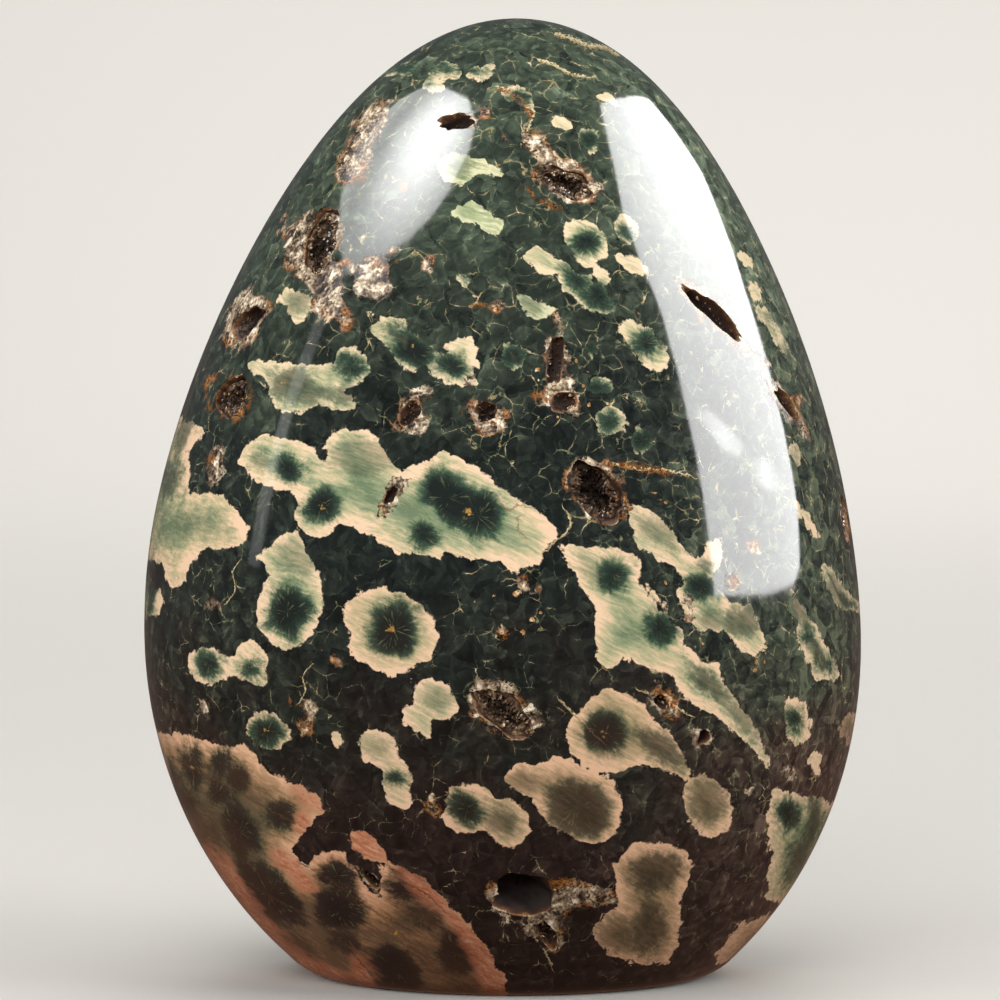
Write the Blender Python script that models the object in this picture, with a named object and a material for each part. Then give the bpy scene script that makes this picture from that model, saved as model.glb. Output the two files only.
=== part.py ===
"""A polished freeform egg of ocean jasper, standing on its sawn flat.

The stone is one solid. Its open vugs are cut into it, and the quartz that lines each larger vug is
a crust of its own. Lengths in the named values are millimetres; the objects are built in metres.
+Z is up, the front of the stone faces -Y, and the origin is the middle of its box at the base.
"""

import math

import bmesh
import bpy
from mathutils import Matrix, Vector, noise

MM = 0.001

# Outline of the stone
WIDEST_HEIGHT = 45.0
RISE_ABOVE_WIDEST = 82.3
DROP_BELOW_WIDEST = 54.5
HALF_WIDTH = 47.8
DEPTH_FRONT = 42.0
DEPTH_BACK = 39.0
CREST_BACK = (DEPTH_FRONT - DEPTH_BACK) / 2
SHOULDER_TAPER = 0.12
LEAN_RIGHT = 1.5
LEAN_FROM_HEIGHT = 58.0
LEAN_OFFSET = 0.16

# Sawn base, with the rounded edge that the polishing wheel leaves on it
EDGE_HEIGHT = 3.0
EDGE_MEETS_FLOOR = 0.582
BASE_SHARE = 0.512
EDGE_STEPS = 4

RING_STEPS = 24
COLUMNS = 48

# Vugs: azimuth in degrees from the front towards +X, height of the middle, length, width and depth,
# and the turn of the long axis in degrees, anticlockwise from level as seen from outside
VUGS = {
    "slit_vug": (46, 89.0, 11.5, 2.8, 3.2, -44),
    "crown_notch": (-18, 113.9, 5.0, 2.6, 2.4, 8),
    "arch_vug": (15, 106.2, 8.0, 5.2, 3.0, -30),
    "left_pocket": (-47.5, 98.0, 10.0, 6.0, 2.8, 105),
    "left_hollow": (-62, 87.6, 7.5, 4.2, 3.4, 20),
    "rust_ring_vug": (-58.5, 78.2, 6.8, 5.4, 3.8, 0),
    "brown_vug": (15.7, 66.9, 8.4, 6.2, 4.0, -38),
    "right_crack": (61, 77.3, 6.4, 2.2, 3.0, -50),
    "edge_vug": (79, 60.9, 6.4, 4.4, 2.4, 80),
    "black_hole": (2.2, 14.5, 8.0, 6.4, 5.0, -10),
    "rusty_hollow": (0.2, 38.9, 9.0, 4.4, 2.4, -36),
    "small_round_vug": (-3.1, 77.1, 2.8, 2.6, 2.0, 0),
    "star_hole": (-16.4, 76.9, 3.6, 2.4, 1.6, 50),
    "crystal_seam": (9.2, 83.6, 6.4, 2.6, 1.8, 82),
    "rust_seam": (10.4, 78.4, 3.8, 2.6, 1.6, 10),
    "pin_hole": (33, 35.1, 2.0, 1.8, 2.2, 0),
    "salmon_pit": (25, 40.1, 3.0, 1.8, 1.5, -35),
    "patch_pit": (-25.5, 16.2, 3.2, 1.8, 1.8, -62),
    "foot_seam": (7.6, 9.2, 5.4, 2.2, 1.5, -66),
    "blotch_notch": (-18.4, 66.5, 2.8, 1.6, 1.4, 55),
    "back_vug": (165, 72.0, 9.6, 6.0, 3.8, 32),
    "back_left_vug": (-140, 48.0, 7.2, 5.0, 3.4, 15),
    "back_slit": (-155, 96.0, 8.0, 2.2, 2.6, -45),
    "right_rear_vug": (118, 38.0, 5.2, 3.0, 2.4, -30),
    "left_side_vug": (-104, 86.0, 5.6, 3.2, 2.6, 70),
    "rear_foot_pit": (148, 22.0, 4.0, 2.2, 2.0, 10),
    "rear_crown_pit": (150, 108.0, 4.4, 2.4, 2.2, 25),
    "rear_pin_hole": (-176, 47.0, 2.4, 2.0, 2.0, 0),
}
LINED_WITH_QUARTZ = (
    "arch_vug",
    "left_pocket",
    "rust_ring_vug",
    "brown_vug",
    "edge_vug",
    "rusty_hollow",
    "back_vug",
    "back_left_vug",
)
LARGE_VUG_LENGTH = 5.5
VUG_ROUGHNESS = 0.26
VUG_LUMPS_ACROSS = 1.8
VUG_SEED_STEP = 7.3

# Quartz crust in a lined vug
CRUST_GAP = 0.45
CRUST_THICKNESS = 0.5
CRUST_RIM_DROP = 0.3
CRYSTAL_LENGTH = 0.8
CRYSTAL_VARIETY = 0.4
RIM_CRYSTAL_LENGTH = 0.4

SHARP_EDGE_ANGLE = math.radians(35)

# Colour, roughness and metallic value of each finish
JASPER = ((0.035, 0.055, 0.042, 1.0), 0.08, 0.0)
QUARTZ = ((0.42, 0.31, 0.22, 1.0), 0.25, 0.0)


def clear_scene():
    for obj in list(bpy.data.objects):
        bpy.data.objects.remove(obj, do_unlink=True)


def make_material(name, finish):
    colour, roughness, metallic = finish
    material = bpy.data.materials.new(name)
    material.use_nodes = True
    shader = material.node_tree.nodes["Principled BSDF"]
    shader.inputs["Base Color"].default_value = colour
    shader.inputs["Roughness"].default_value = roughness
    shader.inputs["Metallic"].default_value = metallic
    return material


def section_share(height):
    """Width of the level section at a height, as a share of the widest one."""
    above = height > WIDEST_HEIGHT
    reach = RISE_ABOVE_WIDEST if above else DROP_BELOW_WIDEST
    along = (height - WIDEST_HEIGHT) / reach
    up = min(max(along, 0.0), 1.0)
    shoulder = SHOULDER_TAPER * up * up * (3 - 2 * up)
    return math.sqrt(max(0.0, 1 - along * along)) * (1 - shoulder)


def section_point(azimuth, height, share):
    """A point on a level section: two half ellipses, deeper in front, whose middle leans with height."""
    angle = math.radians(azimuth)
    lean = LEAN_RIGHT * (abs(height - LEAN_FROM_HEIGHT) / LEAN_FROM_HEIGHT) ** 1.5 - LEAN_OFFSET
    depth = DEPTH_FRONT if math.cos(angle) > 0 else DEPTH_BACK
    x = lean + HALF_WIDTH * share * math.sin(angle)
    y = CREST_BACK - depth * share * math.cos(angle)
    return Vector((x, y, height))


def surface_point(azimuth, height):
    return section_point(azimuth, height, section_share(height))


def surface_normal(azimuth, height):
    step = 0.5
    around = surface_point(azimuth + step, height) - surface_point(azimuth - step, height)
    upwards = surface_point(azimuth, height + step) - surface_point(azimuth, height - step)
    return around.cross(upwards).normalized()


def ring_levels():
    """(height, share) of each ring from just under the crown to the flat base."""
    foot_turn = math.acos((EDGE_HEIGHT - WIDEST_HEIGHT) / DROP_BELOW_WIDEST)
    levels = []
    for step in range(1, RING_STEPS + 1):
        turn = foot_turn * step / RING_STEPS
        reach = RISE_ABOVE_WIDEST if turn < math.pi / 2 else DROP_BELOW_WIDEST
        height = WIDEST_HEIGHT + reach * math.cos(turn)
        levels.append((height, section_share(height)))
    wall_share = levels[-1][1]
    for step in range(1, EDGE_STEPS + 1):
        t = step / EDGE_STEPS
        height = EDGE_HEIGHT * (1 - t) ** 2
        share = wall_share * (1 - t) ** 2 + 2 * EDGE_MEETS_FLOOR * t * (1 - t) + BASE_SHARE * t * t
        levels.append((height, share))
    return levels


def stone_mesh():
    """The egg: a crown point, rings down the wall, the rounded edge and one flat face below."""
    bm = bmesh.new()
    crown = bm.verts.new(section_point(0, WIDEST_HEIGHT + RISE_ABOVE_WIDEST, 0) * MM)
    rings = []
    for height, share in ring_levels():
        azimuths = [360 * column / COLUMNS for column in range(COLUMNS)]
        rings.append([bm.verts.new(section_point(a, height, share) * MM) for a in azimuths])
    for column in range(COLUMNS):
        after = (column + 1) % COLUMNS
        bm.faces.new((crown, rings[0][column], rings[0][after]))
        for upper, lower in zip(rings, rings[1:]):
            bm.faces.new((upper[column], lower[column], lower[after], upper[after]))
    bm.faces.new(reversed(rings[-1]))
    bmesh.ops.recalc_face_normals(bm, faces=bm.faces)
    mesh = bpy.data.meshes.new("uncut_stone")
    bm.to_mesh(mesh)
    bm.free()
    return mesh


def vug_frame(name):
    """Matrix of a vug: origin on the polished surface, X along its length, Z straight out."""
    azimuth, height, _, _, _, turn = VUGS[name]
    out = surface_normal(azimuth, height)
    level = Vector((0, 0, 1)).cross(out).normalized()
    along = Matrix.Rotation(math.radians(turn), 3, out) @ level
    across = out.cross(along)
    frame = Matrix((along, across, out)).transposed().to_4x4()
    frame.translation = surface_point(azimuth, height)
    return frame


def rough_ball(bm, name, subdivisions):
    """A ball of the vug's half sizes with a lumpy skin, in the vug's own frame."""
    _, _, length, width, depth, _ = VUGS[name]
    bmesh.ops.create_icosphere(bm, subdivisions=subdivisions, radius=1.0)
    seed = Vector((1, 2, 3)) * (VUG_SEED_STEP * list(VUGS).index(name))
    for vert in bm.verts:
        lump = 1 + VUG_ROUGHNESS * noise.noise(vert.co * VUG_LUMPS_ACROSS + seed)
        vert.co = Vector((vert.co.x * length / 2, vert.co.y * width / 2, vert.co.z * depth)) * lump


def placed_mesh(bm, name, frame):
    """Carries a vug's mesh from its own frame to the stone and turns it to metres."""
    bm.transform(Matrix.Scale(MM, 4) @ frame)
    mesh = bpy.data.meshes.new(name)
    bm.to_mesh(mesh)
    bm.free()
    return mesh


def hollow_mesh(name):
    is_large = VUGS[name][2] > LARGE_VUG_LENGTH
    bm = bmesh.new()
    rough_ball(bm, name, 3 if is_large else 2)
    return placed_mesh(bm, "hollow_" + name, vug_frame(name))


def add_hollows():
    """The hollows of all the vugs, as helpers that are cut from the stone."""
    hollows = bpy.data.collections.new("hollows")
    bpy.context.scene.collection.children.link(hollows)
    for name in VUGS:
        cutter = bpy.data.objects.new("hollow_" + name, hollow_mesh(name))
        cutter.hide_render = True
        cutter.display_type = "WIRE"
        hollows.objects.link(cutter)
    return hollows


def raise_points(bm, faces, lift):
    """Stands a pointed crystal on each face; lift(point) gives the way and distance of its tip."""
    tips = bmesh.ops.poke(bm, faces=faces)["verts"]
    for tip in tips:
        tip.co += lift(tip.co)


def wall_crystal(point):
    length = CRYSTAL_LENGTH * (1 + CRYSTAL_VARIETY * noise.noise(point * 2))
    return -length * point.normalized()


def rim_crystal(point):
    return Vector((0, 0, RIM_CRYSTAL_LENGTH))


def crust_mesh(name):
    """A bowl that follows the vug's wall with a gap, its inner side and rim standing in crystals."""
    _, _, length, width, depth, _ = VUGS[name]
    tightest = min(length / 2, width / 2, depth)
    outer_scale = 1 - CRUST_GAP / tightest
    inner_scale = outer_scale - CRUST_THICKNESS / tightest
    bm = bmesh.new()
    rough_ball(bm, name, 2)
    bmesh.ops.scale(bm, vec=(outer_scale,) * 3, verts=bm.verts)
    bmesh.ops.bisect_plane(
        bm,
        geom=bm.verts[:] + bm.edges[:] + bm.faces[:],
        plane_co=(0, 0, -CRUST_RIM_DROP * depth),
        plane_no=(0, 0, 1),
        clear_outer=True,
    )
    outer_faces = list(bm.faces)
    rim_edges = [edge for edge in bm.edges if edge.is_boundary]
    shrink = inner_scale / outer_scale
    inner = {vert: bm.verts.new(vert.co * shrink) for vert in list(bm.verts)}
    inner_faces = [bm.faces.new([inner[v] for v in reversed(face.verts)]) for face in outer_faces]
    rim_faces = []
    for edge in rim_edges:
        loop = edge.link_loops[0]
        a, b = loop.vert, loop.link_loop_next.vert
        rim_faces.append(bm.faces.new((b, a, inner[a], inner[b])))
    raise_points(bm, inner_faces, wall_crystal)
    raise_points(bm, rim_faces, rim_crystal)
    bmesh.ops.recalc_face_normals(bm, faces=bm.faces)
    return placed_mesh(bm, "quartz_crust_" + name, vug_frame(name))


def build_stone(material):
    """The egg with its vugs cut in; the cut is applied so that the rims can be marked sharp."""
    stone = bpy.data.objects.new("jasper_stone", stone_mesh())
    bpy.context.scene.collection.objects.link(stone)
    cut = stone.modifiers.new("vugs", "BOOLEAN")
    cut.operation = "DIFFERENCE"
    cut.operand_type = "COLLECTION"
    cut.collection = add_hollows()
    evaluated = stone.evaluated_get(bpy.context.evaluated_depsgraph_get())
    mesh = bpy.data.meshes.new_from_object(evaluated)
    stone.modifiers.clear()
    stone.data = mesh
    mesh.materials.clear()
    mesh.materials.append(material)
    mesh.shade_smooth()
    mesh.set_sharp_from_angle(angle=SHARP_EDGE_ANGLE)


def build_crusts(material):
    for name in LINED_WITH_QUARTZ:
        mesh = crust_mesh(name)
        mesh.materials.append(material)
        crust = bpy.data.objects.new("quartz_crust_" + name, mesh)
        bpy.context.scene.collection.objects.link(crust)


clear_scene()
build_stone(make_material("polished_ocean_jasper", JASPER))
build_crusts(make_material("druzy_quartz", QUARTZ))
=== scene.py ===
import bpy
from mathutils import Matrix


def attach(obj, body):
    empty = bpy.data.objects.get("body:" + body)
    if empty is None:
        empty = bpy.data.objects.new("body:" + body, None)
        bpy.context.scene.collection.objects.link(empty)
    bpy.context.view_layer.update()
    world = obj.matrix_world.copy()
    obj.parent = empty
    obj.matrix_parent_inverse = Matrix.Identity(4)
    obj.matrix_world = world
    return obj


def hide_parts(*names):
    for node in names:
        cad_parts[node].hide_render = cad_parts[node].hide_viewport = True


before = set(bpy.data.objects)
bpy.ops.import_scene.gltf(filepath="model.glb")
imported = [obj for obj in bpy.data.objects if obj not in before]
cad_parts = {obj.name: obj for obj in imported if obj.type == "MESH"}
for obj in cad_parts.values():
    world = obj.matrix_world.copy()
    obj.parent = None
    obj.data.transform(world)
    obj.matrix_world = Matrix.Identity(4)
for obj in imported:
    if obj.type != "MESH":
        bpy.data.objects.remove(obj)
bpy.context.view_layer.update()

from functools import partial

import bpy
import numpy as np
from mathutils import Vector

# A polished freeform egg of ocean jasper. Shapes are worked out in millimetres and built in metres.
# The front is -Y, and an azimuth is counted from the front towards +X.
mm = 0.001


# Helpers for meshes, colours and nodes

def colour(code):
    # an sRGB hex value as linear RGBA
    channels = np.array([int(code[i:i + 2], 16) for i in (1, 3, 5)]) / 255
    linear = np.where(channels <= 0.04045, channels / 12.92, ((channels + 0.055) / 1.055) ** 2.4)
    return (*linear, 1.0)


def addNode(tree, kind, links=None, stops=None, **settings):
    # one node of any kind; links gives its sockets a number, a hex colour, a node or one of its outputs
    node = tree.nodes.new("ShaderNode" + kind)
    for name, value in settings.items():
        setattr(node, name, value)
    if stops:
        elements = node.color_ramp.elements
        for element, (place, code) in zip((elements[0], elements[-1]), (stops[0], stops[-1])):
            element.position, element.color = place, colour(code)
        for place, code in stops[1:-1]:
            elements.new(place).color = colour(code)
    sockets = [socket for socket in node.inputs if socket.enabled]
    for key, value in (links or {}).items():
        socket = sockets[key] if isinstance(key, int) else next(s for s in sockets if s.name == key)
        if isinstance(value, bpy.types.Node):
            value = next(output for output in value.outputs if output.enabled)
        if isinstance(value, bpy.types.NodeSocket):
            tree.links.new(value, socket)
        else:
            socket.default_value = colour(value) if isinstance(value, str) else value
    return node


def newMaterial(name):
    material = bpy.data.materials.new(name)
    material.use_nodes = True
    return material, material.node_tree, material.node_tree.nodes["Principled BSDF"]


def newPiece(name, points, faces, material, smooth=True):
    # points in mm and their faces, as an object whose place is in its mesh
    mesh = bpy.data.meshes.new(name)
    mesh.from_pydata((points * mm).tolist(), [], faces)
    mesh.update()
    mesh.shade_smooth() if smooth else mesh.shade_flat()
    piece = bpy.data.objects.new(name, mesh)
    bpy.context.scene.collection.objects.link(piece)
    if material:
        mesh.materials.append(material)
    return piece


def gridFaces(rings, columns):
    # quads of a grid whose columns close on themselves, ring after ring, looking outward
    ring, column = np.meshgrid(np.arange(rings - 1), np.arange(columns), indexing="ij")
    after = (column + 1) % columns
    corners = (ring * columns + column, (ring + 1) * columns + column,
               (ring + 1) * columns + after, ring * columns + after)
    return np.stack(corners, axis=-1).reshape(-1, 4)


def fanFaces(first, columns, middle, above=True):
    # triangles from a closed ring, whose first point is given, to a single point above it or below it
    ring = np.arange(columns)
    after = (ring + 1) % columns
    near, far = (ring, after) if above else (after, ring)
    return np.stack((np.full(columns, middle), first + near, first + far), axis=1)


def ballDirections(down, around):
    # unit directions from the angle down from an axis and the angle round it
    level = np.sin(down)
    return np.stack((level * np.cos(around), level * np.sin(around), np.cos(down)), axis=-1).reshape(-1, 3)


# Camera: level with the middle of the stone and 4 degrees above it, as the photograph was taken

view = {"target": (-0.16, 1.5, 63.25), "elevation": 4.0, "distance": 850.0, "pixelsPerMm": 7.5,
        "centre": (501.5, 500.0)}

tilt = np.radians(view["elevation"])
forward = np.array((0.0, np.cos(tilt), -np.sin(tilt)))
upward = np.array((0.0, np.sin(tilt), np.cos(tilt)))
target = np.array(view["target"])

cameraData = bpy.data.cameras.new("camera")
cameraData.lens = view["pixelsPerMm"] * view["distance"] * cameraData.sensor_width / 1000
cameraData.clip_start, cameraData.clip_end = 0.05, 20
camera = bpy.data.objects.new("camera", cameraData)
sideways = (500.0 - view["centre"][0]) / view["pixelsPerMm"]
camera.location = (target - forward * view["distance"] + (sideways, 0, 0)) * mm
camera.rotation_euler = (np.pi / 2 - tilt, 0, 0)
bpy.context.scene.collection.objects.link(camera)
bpy.context.scene.camera = camera


def viewPixels(points):
    # where a point shows in the picture: its sideways and upward offsets from the target, scaled by distance
    offset = points - (target - forward * view["distance"])
    scale = view["pixelsPerMm"] * view["distance"] / (offset @ forward)
    return np.stack((view["centre"][0] + offset[:, 0] * scale,
                     view["centre"][1] - (offset @ upward) * scale), axis=1)


# The stone's outside

stone = {"widestHeight": 45.0, "riseAbove": 82.3, "dropBelow": 54.5, "halfWidth": 47.8, "depthFront": 42.0,
         "depthBack": 39.0, "crestBack": 1.5, "shoulderTaper": 0.12, "leanRight": 1.5, "leanHeight": 58.0,
         "leanOffset": -0.16, "edgeHeight": 3.0, "edgeMeetsFloor": 0.582, "baseShare": 0.512,
         "columns": 376, "rings": 190, "baseRings": 12, "polishWave": 0.035}


def sectionShare(height):
    # share of the full width at a height: an ellipse above and below the widest level, its shoulders drawn in
    rise = height - stone["widestHeight"]
    level = np.where(rise > 0, rise / stone["riseAbove"], rise / stone["dropBelow"])
    up = np.clip(level, 0, 1)
    return np.sqrt(np.clip(1 - level ** 2, 0, None)) * (1 - stone["shoulderTaper"] * up ** 2 * (3 - 2 * up))


def leanAt(height):
    # how far the middle of a level section stands to the right
    reach = np.abs(height - stone["leanHeight"]) / stone["leanHeight"]
    return stone["leanRight"] * reach ** 1.5 + stone["leanOffset"]


def stonePoint(azimuth, height, share):
    # a half ellipse to the front and another to the back, about the leaning middle line
    depth = np.where(np.cos(azimuth) > 0, stone["depthFront"], stone["depthBack"])
    return np.stack((leanAt(height) + stone["halfWidth"] * share * np.sin(azimuth),
                     stone["crestBack"] - depth * share * np.cos(azimuth),
                     height + 0 * azimuth), axis=-1)


def stoneNormal(azimuth, height):
    # cross product of a small step round the stone and a small step up it
    step = 0.002
    around = (stonePoint(azimuth + step, height, sectionShare(height))
              - stonePoint(azimuth - step, height, sectionShare(height)))
    rising = (stonePoint(azimuth, height + step, sectionShare(height + step))
              - stonePoint(azimuth, height - step, sectionShare(height - step)))
    out = np.cross(around, rising)
    return out / np.linalg.norm(out, axis=-1, keepdims=True)


def stoneAzimuth(points):
    # the azimuth and the share of width at which points lie, inside the stone or on it
    across = (points[:, 0] - leanAt(points[:, 2])) / stone["halfWidth"]
    back = points[:, 1] - stone["crestBack"]
    along = -back / np.where(back < 0, stone["depthFront"], stone["depthBack"])
    return np.arctan2(across, along), np.hypot(across, along)


def waveNoise(vectors, seed, waves=9):
    # smooth noise between about -1 and 1: sine waves of seeded directions and phases, added together
    rng = np.random.default_rng(seed)
    total = np.zeros(len(vectors))
    for octave in range(3):
        directions = rng.normal(size=(waves, 3)) * 1.9 ** octave
        phases = rng.uniform(0, 2 * np.pi, waves)
        total += np.sin(vectors @ directions.T + phases).sum(axis=1) / 1.9 ** octave
    return total / (waves * 0.62)


def stoneSurface():
    # the profile is followed from crown to foot in steps of equal length, then in to the middle of the flat;
    # columns crowd to the front, and a faint inward wave is what the polishing wheel leaves
    sweep = np.linspace(0, np.pi / 2, 600)
    heights = stone["widestHeight"] + stone["riseAbove"] * np.cos(sweep)
    low = stone["widestHeight"] - np.linspace(0, 1, 500)[1:] * (stone["widestHeight"] - stone["edgeHeight"])
    turn = np.linspace(0, 1, 60)[1:]
    wallShare = sectionShare(np.array(stone["edgeHeight"]))
    heights = np.concatenate((heights, low, stone["edgeHeight"] * (1 - turn) ** 2))
    edgeShares = (wallShare * (1 - turn) ** 2 + 2 * stone["edgeMeetsFloor"] * turn * (1 - turn)
                  + stone["baseShare"] * turn ** 2)
    shares = np.concatenate((sectionShare(heights[:-len(turn)]), edgeShares))
    walked = np.concatenate(([0], np.cumsum(np.hypot(np.diff(heights), 45 * np.diff(shares)))))
    steps = np.linspace(0, walked[-1], stone["rings"] + 1)[1:]
    inward = stone["baseShare"] * (1 - np.arange(1, stone["baseRings"]) / stone["baseRings"])
    height = np.concatenate((np.interp(steps, walked, heights), 0 * inward))
    share = np.concatenate((np.interp(steps, walked, shares), inward))
    turnAround = np.linspace(-np.pi, np.pi, stone["columns"], endpoint=False)
    azimuth = turnAround - 0.2 * np.sin(turnAround)
    grid = stonePoint(azimuth[None, :], height[:, None], share[:, None])
    wave = 0.5 + 0.5 * np.clip(waveNoise(grid.reshape(-1, 3) * 0.16, 3), -1, 1)
    lift = np.clip(height / 12, 0, 1)[:, None] * stone["polishWave"] * wave.reshape(grid.shape[:2])
    grid = grid - stoneNormal(azimuth[None, :], np.clip(height, 3.2, 127.2)[:, None]) * lift[..., None]
    rings, columns = grid.shape[:2]
    crown = stonePoint(np.array(0.0), np.array(stone["widestHeight"] + stone["riseAbove"]), np.array(0.0))
    middle = stonePoint(np.array(0.0), np.array(0.0), np.array(0.0))
    points = np.concatenate((grid.reshape(-1, 3), crown[None], middle[None]))
    crownFan = fanFaces(0, columns, rings * columns)
    footFan = fanFaces((rings - 1) * columns, columns, rings * columns + 1, above=False)
    return points, gridFaces(rings, columns).tolist() + crownFan.tolist() + footFan.tolist()


# The vugs: azimuth and height of the middle in degrees and mm; length, width and depth in mm; turn in degrees

vugs = {
    "slitVug": (46, 89.0, 11.5, 2.8, 3.2, -44), "crownNotch": (-18, 113.9, 5.0, 2.6, 2.4, 8),
    "archVug": (15, 106.2, 8.0, 5.2, 3.0, -30), "leftPocket": (-47.5, 98.0, 10.0, 6.0, 2.8, 105),
    "leftHollow": (-62, 87.6, 7.5, 4.2, 3.4, 20), "rustRingVug": (-58.5, 78.2, 6.8, 5.4, 3.8, 0),
    "brownVug": (15.7, 66.9, 8.4, 6.2, 4.0, -38), "rightCrack": (61, 77.3, 6.4, 2.2, 3.0, -50),
    "edgeVug": (79, 60.9, 6.4, 4.4, 2.4, 80), "blackHole": (2.2, 14.5, 8.0, 6.4, 5.0, -10),
    "rustyHollow": (0.2, 38.9, 9.0, 4.4, 2.4, -36), "smallRoundVug": (-3.1, 77.1, 2.8, 2.6, 2.0, 0),
    "starHole": (-16.4, 76.9, 3.6, 2.4, 1.6, 50), "crystalSeam": (9.2, 83.6, 6.4, 2.6, 1.8, 82),
    "rustSeam": (10.4, 78.4, 3.8, 2.6, 1.6, 10), "pinHole": (33, 35.1, 2.0, 1.8, 2.2, 0),
    "salmonPit": (25, 40.1, 3.0, 1.8, 1.5, -35), "patchPit": (-25.5, 16.2, 3.2, 1.8, 1.8, -62),
    "footSeam": (7.6, 9.2, 5.4, 2.2, 1.5, -66), "blotchNotch": (-18.4, 66.5, 2.8, 1.6, 1.4, 55),
    "backVug": (165, 72.0, 9.6, 6.0, 3.8, 32), "backLeftVug": (-140, 48.0, 7.2, 5.0, 3.4, 15),
    "backSlit": (-155, 96.0, 8.0, 2.2, 2.6, -45), "rightRearVug": (118, 38.0, 5.2, 3.0, 2.4, -30),
    "leftSideVug": (-104, 86.0, 5.6, 3.2, 2.6, 70), "rearFootPit": (148, 22.0, 4.0, 2.2, 2.0, 10),
    "rearCrownPit": (150, 108.0, 4.4, 2.4, 2.2, 25), "rearPinHole": (-176, 47.0, 2.4, 2.0, 2.0, 0)}

# Those lined with a crust of quartz, by the CAD solid that each crust stands for
linedVugs = {"archVug": "quartz_crust_arch_vug", "leftPocket": "quartz_crust_left_pocket",
             "rustRingVug": "quartz_crust_rust_ring_vug", "brownVug": "quartz_crust_brown_vug",
             "edgeVug": "quartz_crust_edge_vug", "rustyHollow": "quartz_crust_rusty_hollow",
             "backVug": "quartz_crust_back_vug", "backLeftVug": "quartz_crust_back_left_vug"}

hollow = {"roughness": 0.3, "largeGrid": (48, 24), "smallGrid": (28, 14), "largeFrom": 5.0}


def vugFrame(name):
    # the middle on the surface, and the axes along its length, across it and out of the stone
    azimuth, height, _, _, _, turn = vugs[name]
    azimuth, height, turn = np.radians(azimuth), np.array(float(height)), np.radians(turn)
    out = stoneNormal(azimuth, height)
    level = np.cross((0.0, 0.0, 1.0), out)
    level /= np.linalg.norm(level)
    length = level * np.cos(turn) + np.cross(out, level) * np.sin(turn)
    return stonePoint(azimuth, height, sectionShare(height)), np.stack((length, np.cross(out, length), out))


def vugHalves(name):
    _, _, length, width, depth, _ = vugs[name]
    return np.array((length / 2, width / 2, depth))


def vugWall(name, directions):
    # an ellipsoid whose distance along each direction swells and shrinks by smooth noise and finer roughness
    seed = list(vugs).index(name)
    swell = 1 + hollow["roughness"] * (0.75 * waveNoise(directions * 1.9, seed)
                                       + 0.5 * waveNoise(directions * 4.5, seed + 50))
    return directions * vugHalves(name) * swell[:, None]


def vugHollow(name):
    # directions over a whole ball, carried out to the wall and set in place on the stone
    columns, rings = hollow["largeGrid"] if vugs[name][2] >= hollow["largeFrom"] else hollow["smallGrid"]
    down, around = np.meshgrid(np.pi * np.arange(1, rings) / rings,
                               2 * np.pi * np.arange(columns) / columns, indexing="ij")
    directions = np.concatenate((ballDirections(down, around), ((0, 0, 1), (0, 0, -1))))
    middle, axes = vugFrame(name)
    points = middle + vugWall(name, directions) @ axes
    top = (rings - 1) * columns
    topFan = fanFaces(0, columns, top)
    bottomFan = fanFaces(top - columns, columns, top + 1, above=False)
    return points, gridFaces(rings - 1, columns).tolist() + topFan.tolist() + bottomFan.tolist()


# The markings of the front, read off the photograph in its pixels. A mark is an outline, its darker
# cores (x, y, half width, half height, turn, strength), its golden stars (x, y, radius) and its tone:
# below 0 sage, 0 cream, above 0 pink. One with a rim is dark all through within a rim that many mm wide.

# A tone above 0, which the low marks carry, is partly their own pink and partly painted warm bounce light from
# below.
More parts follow.
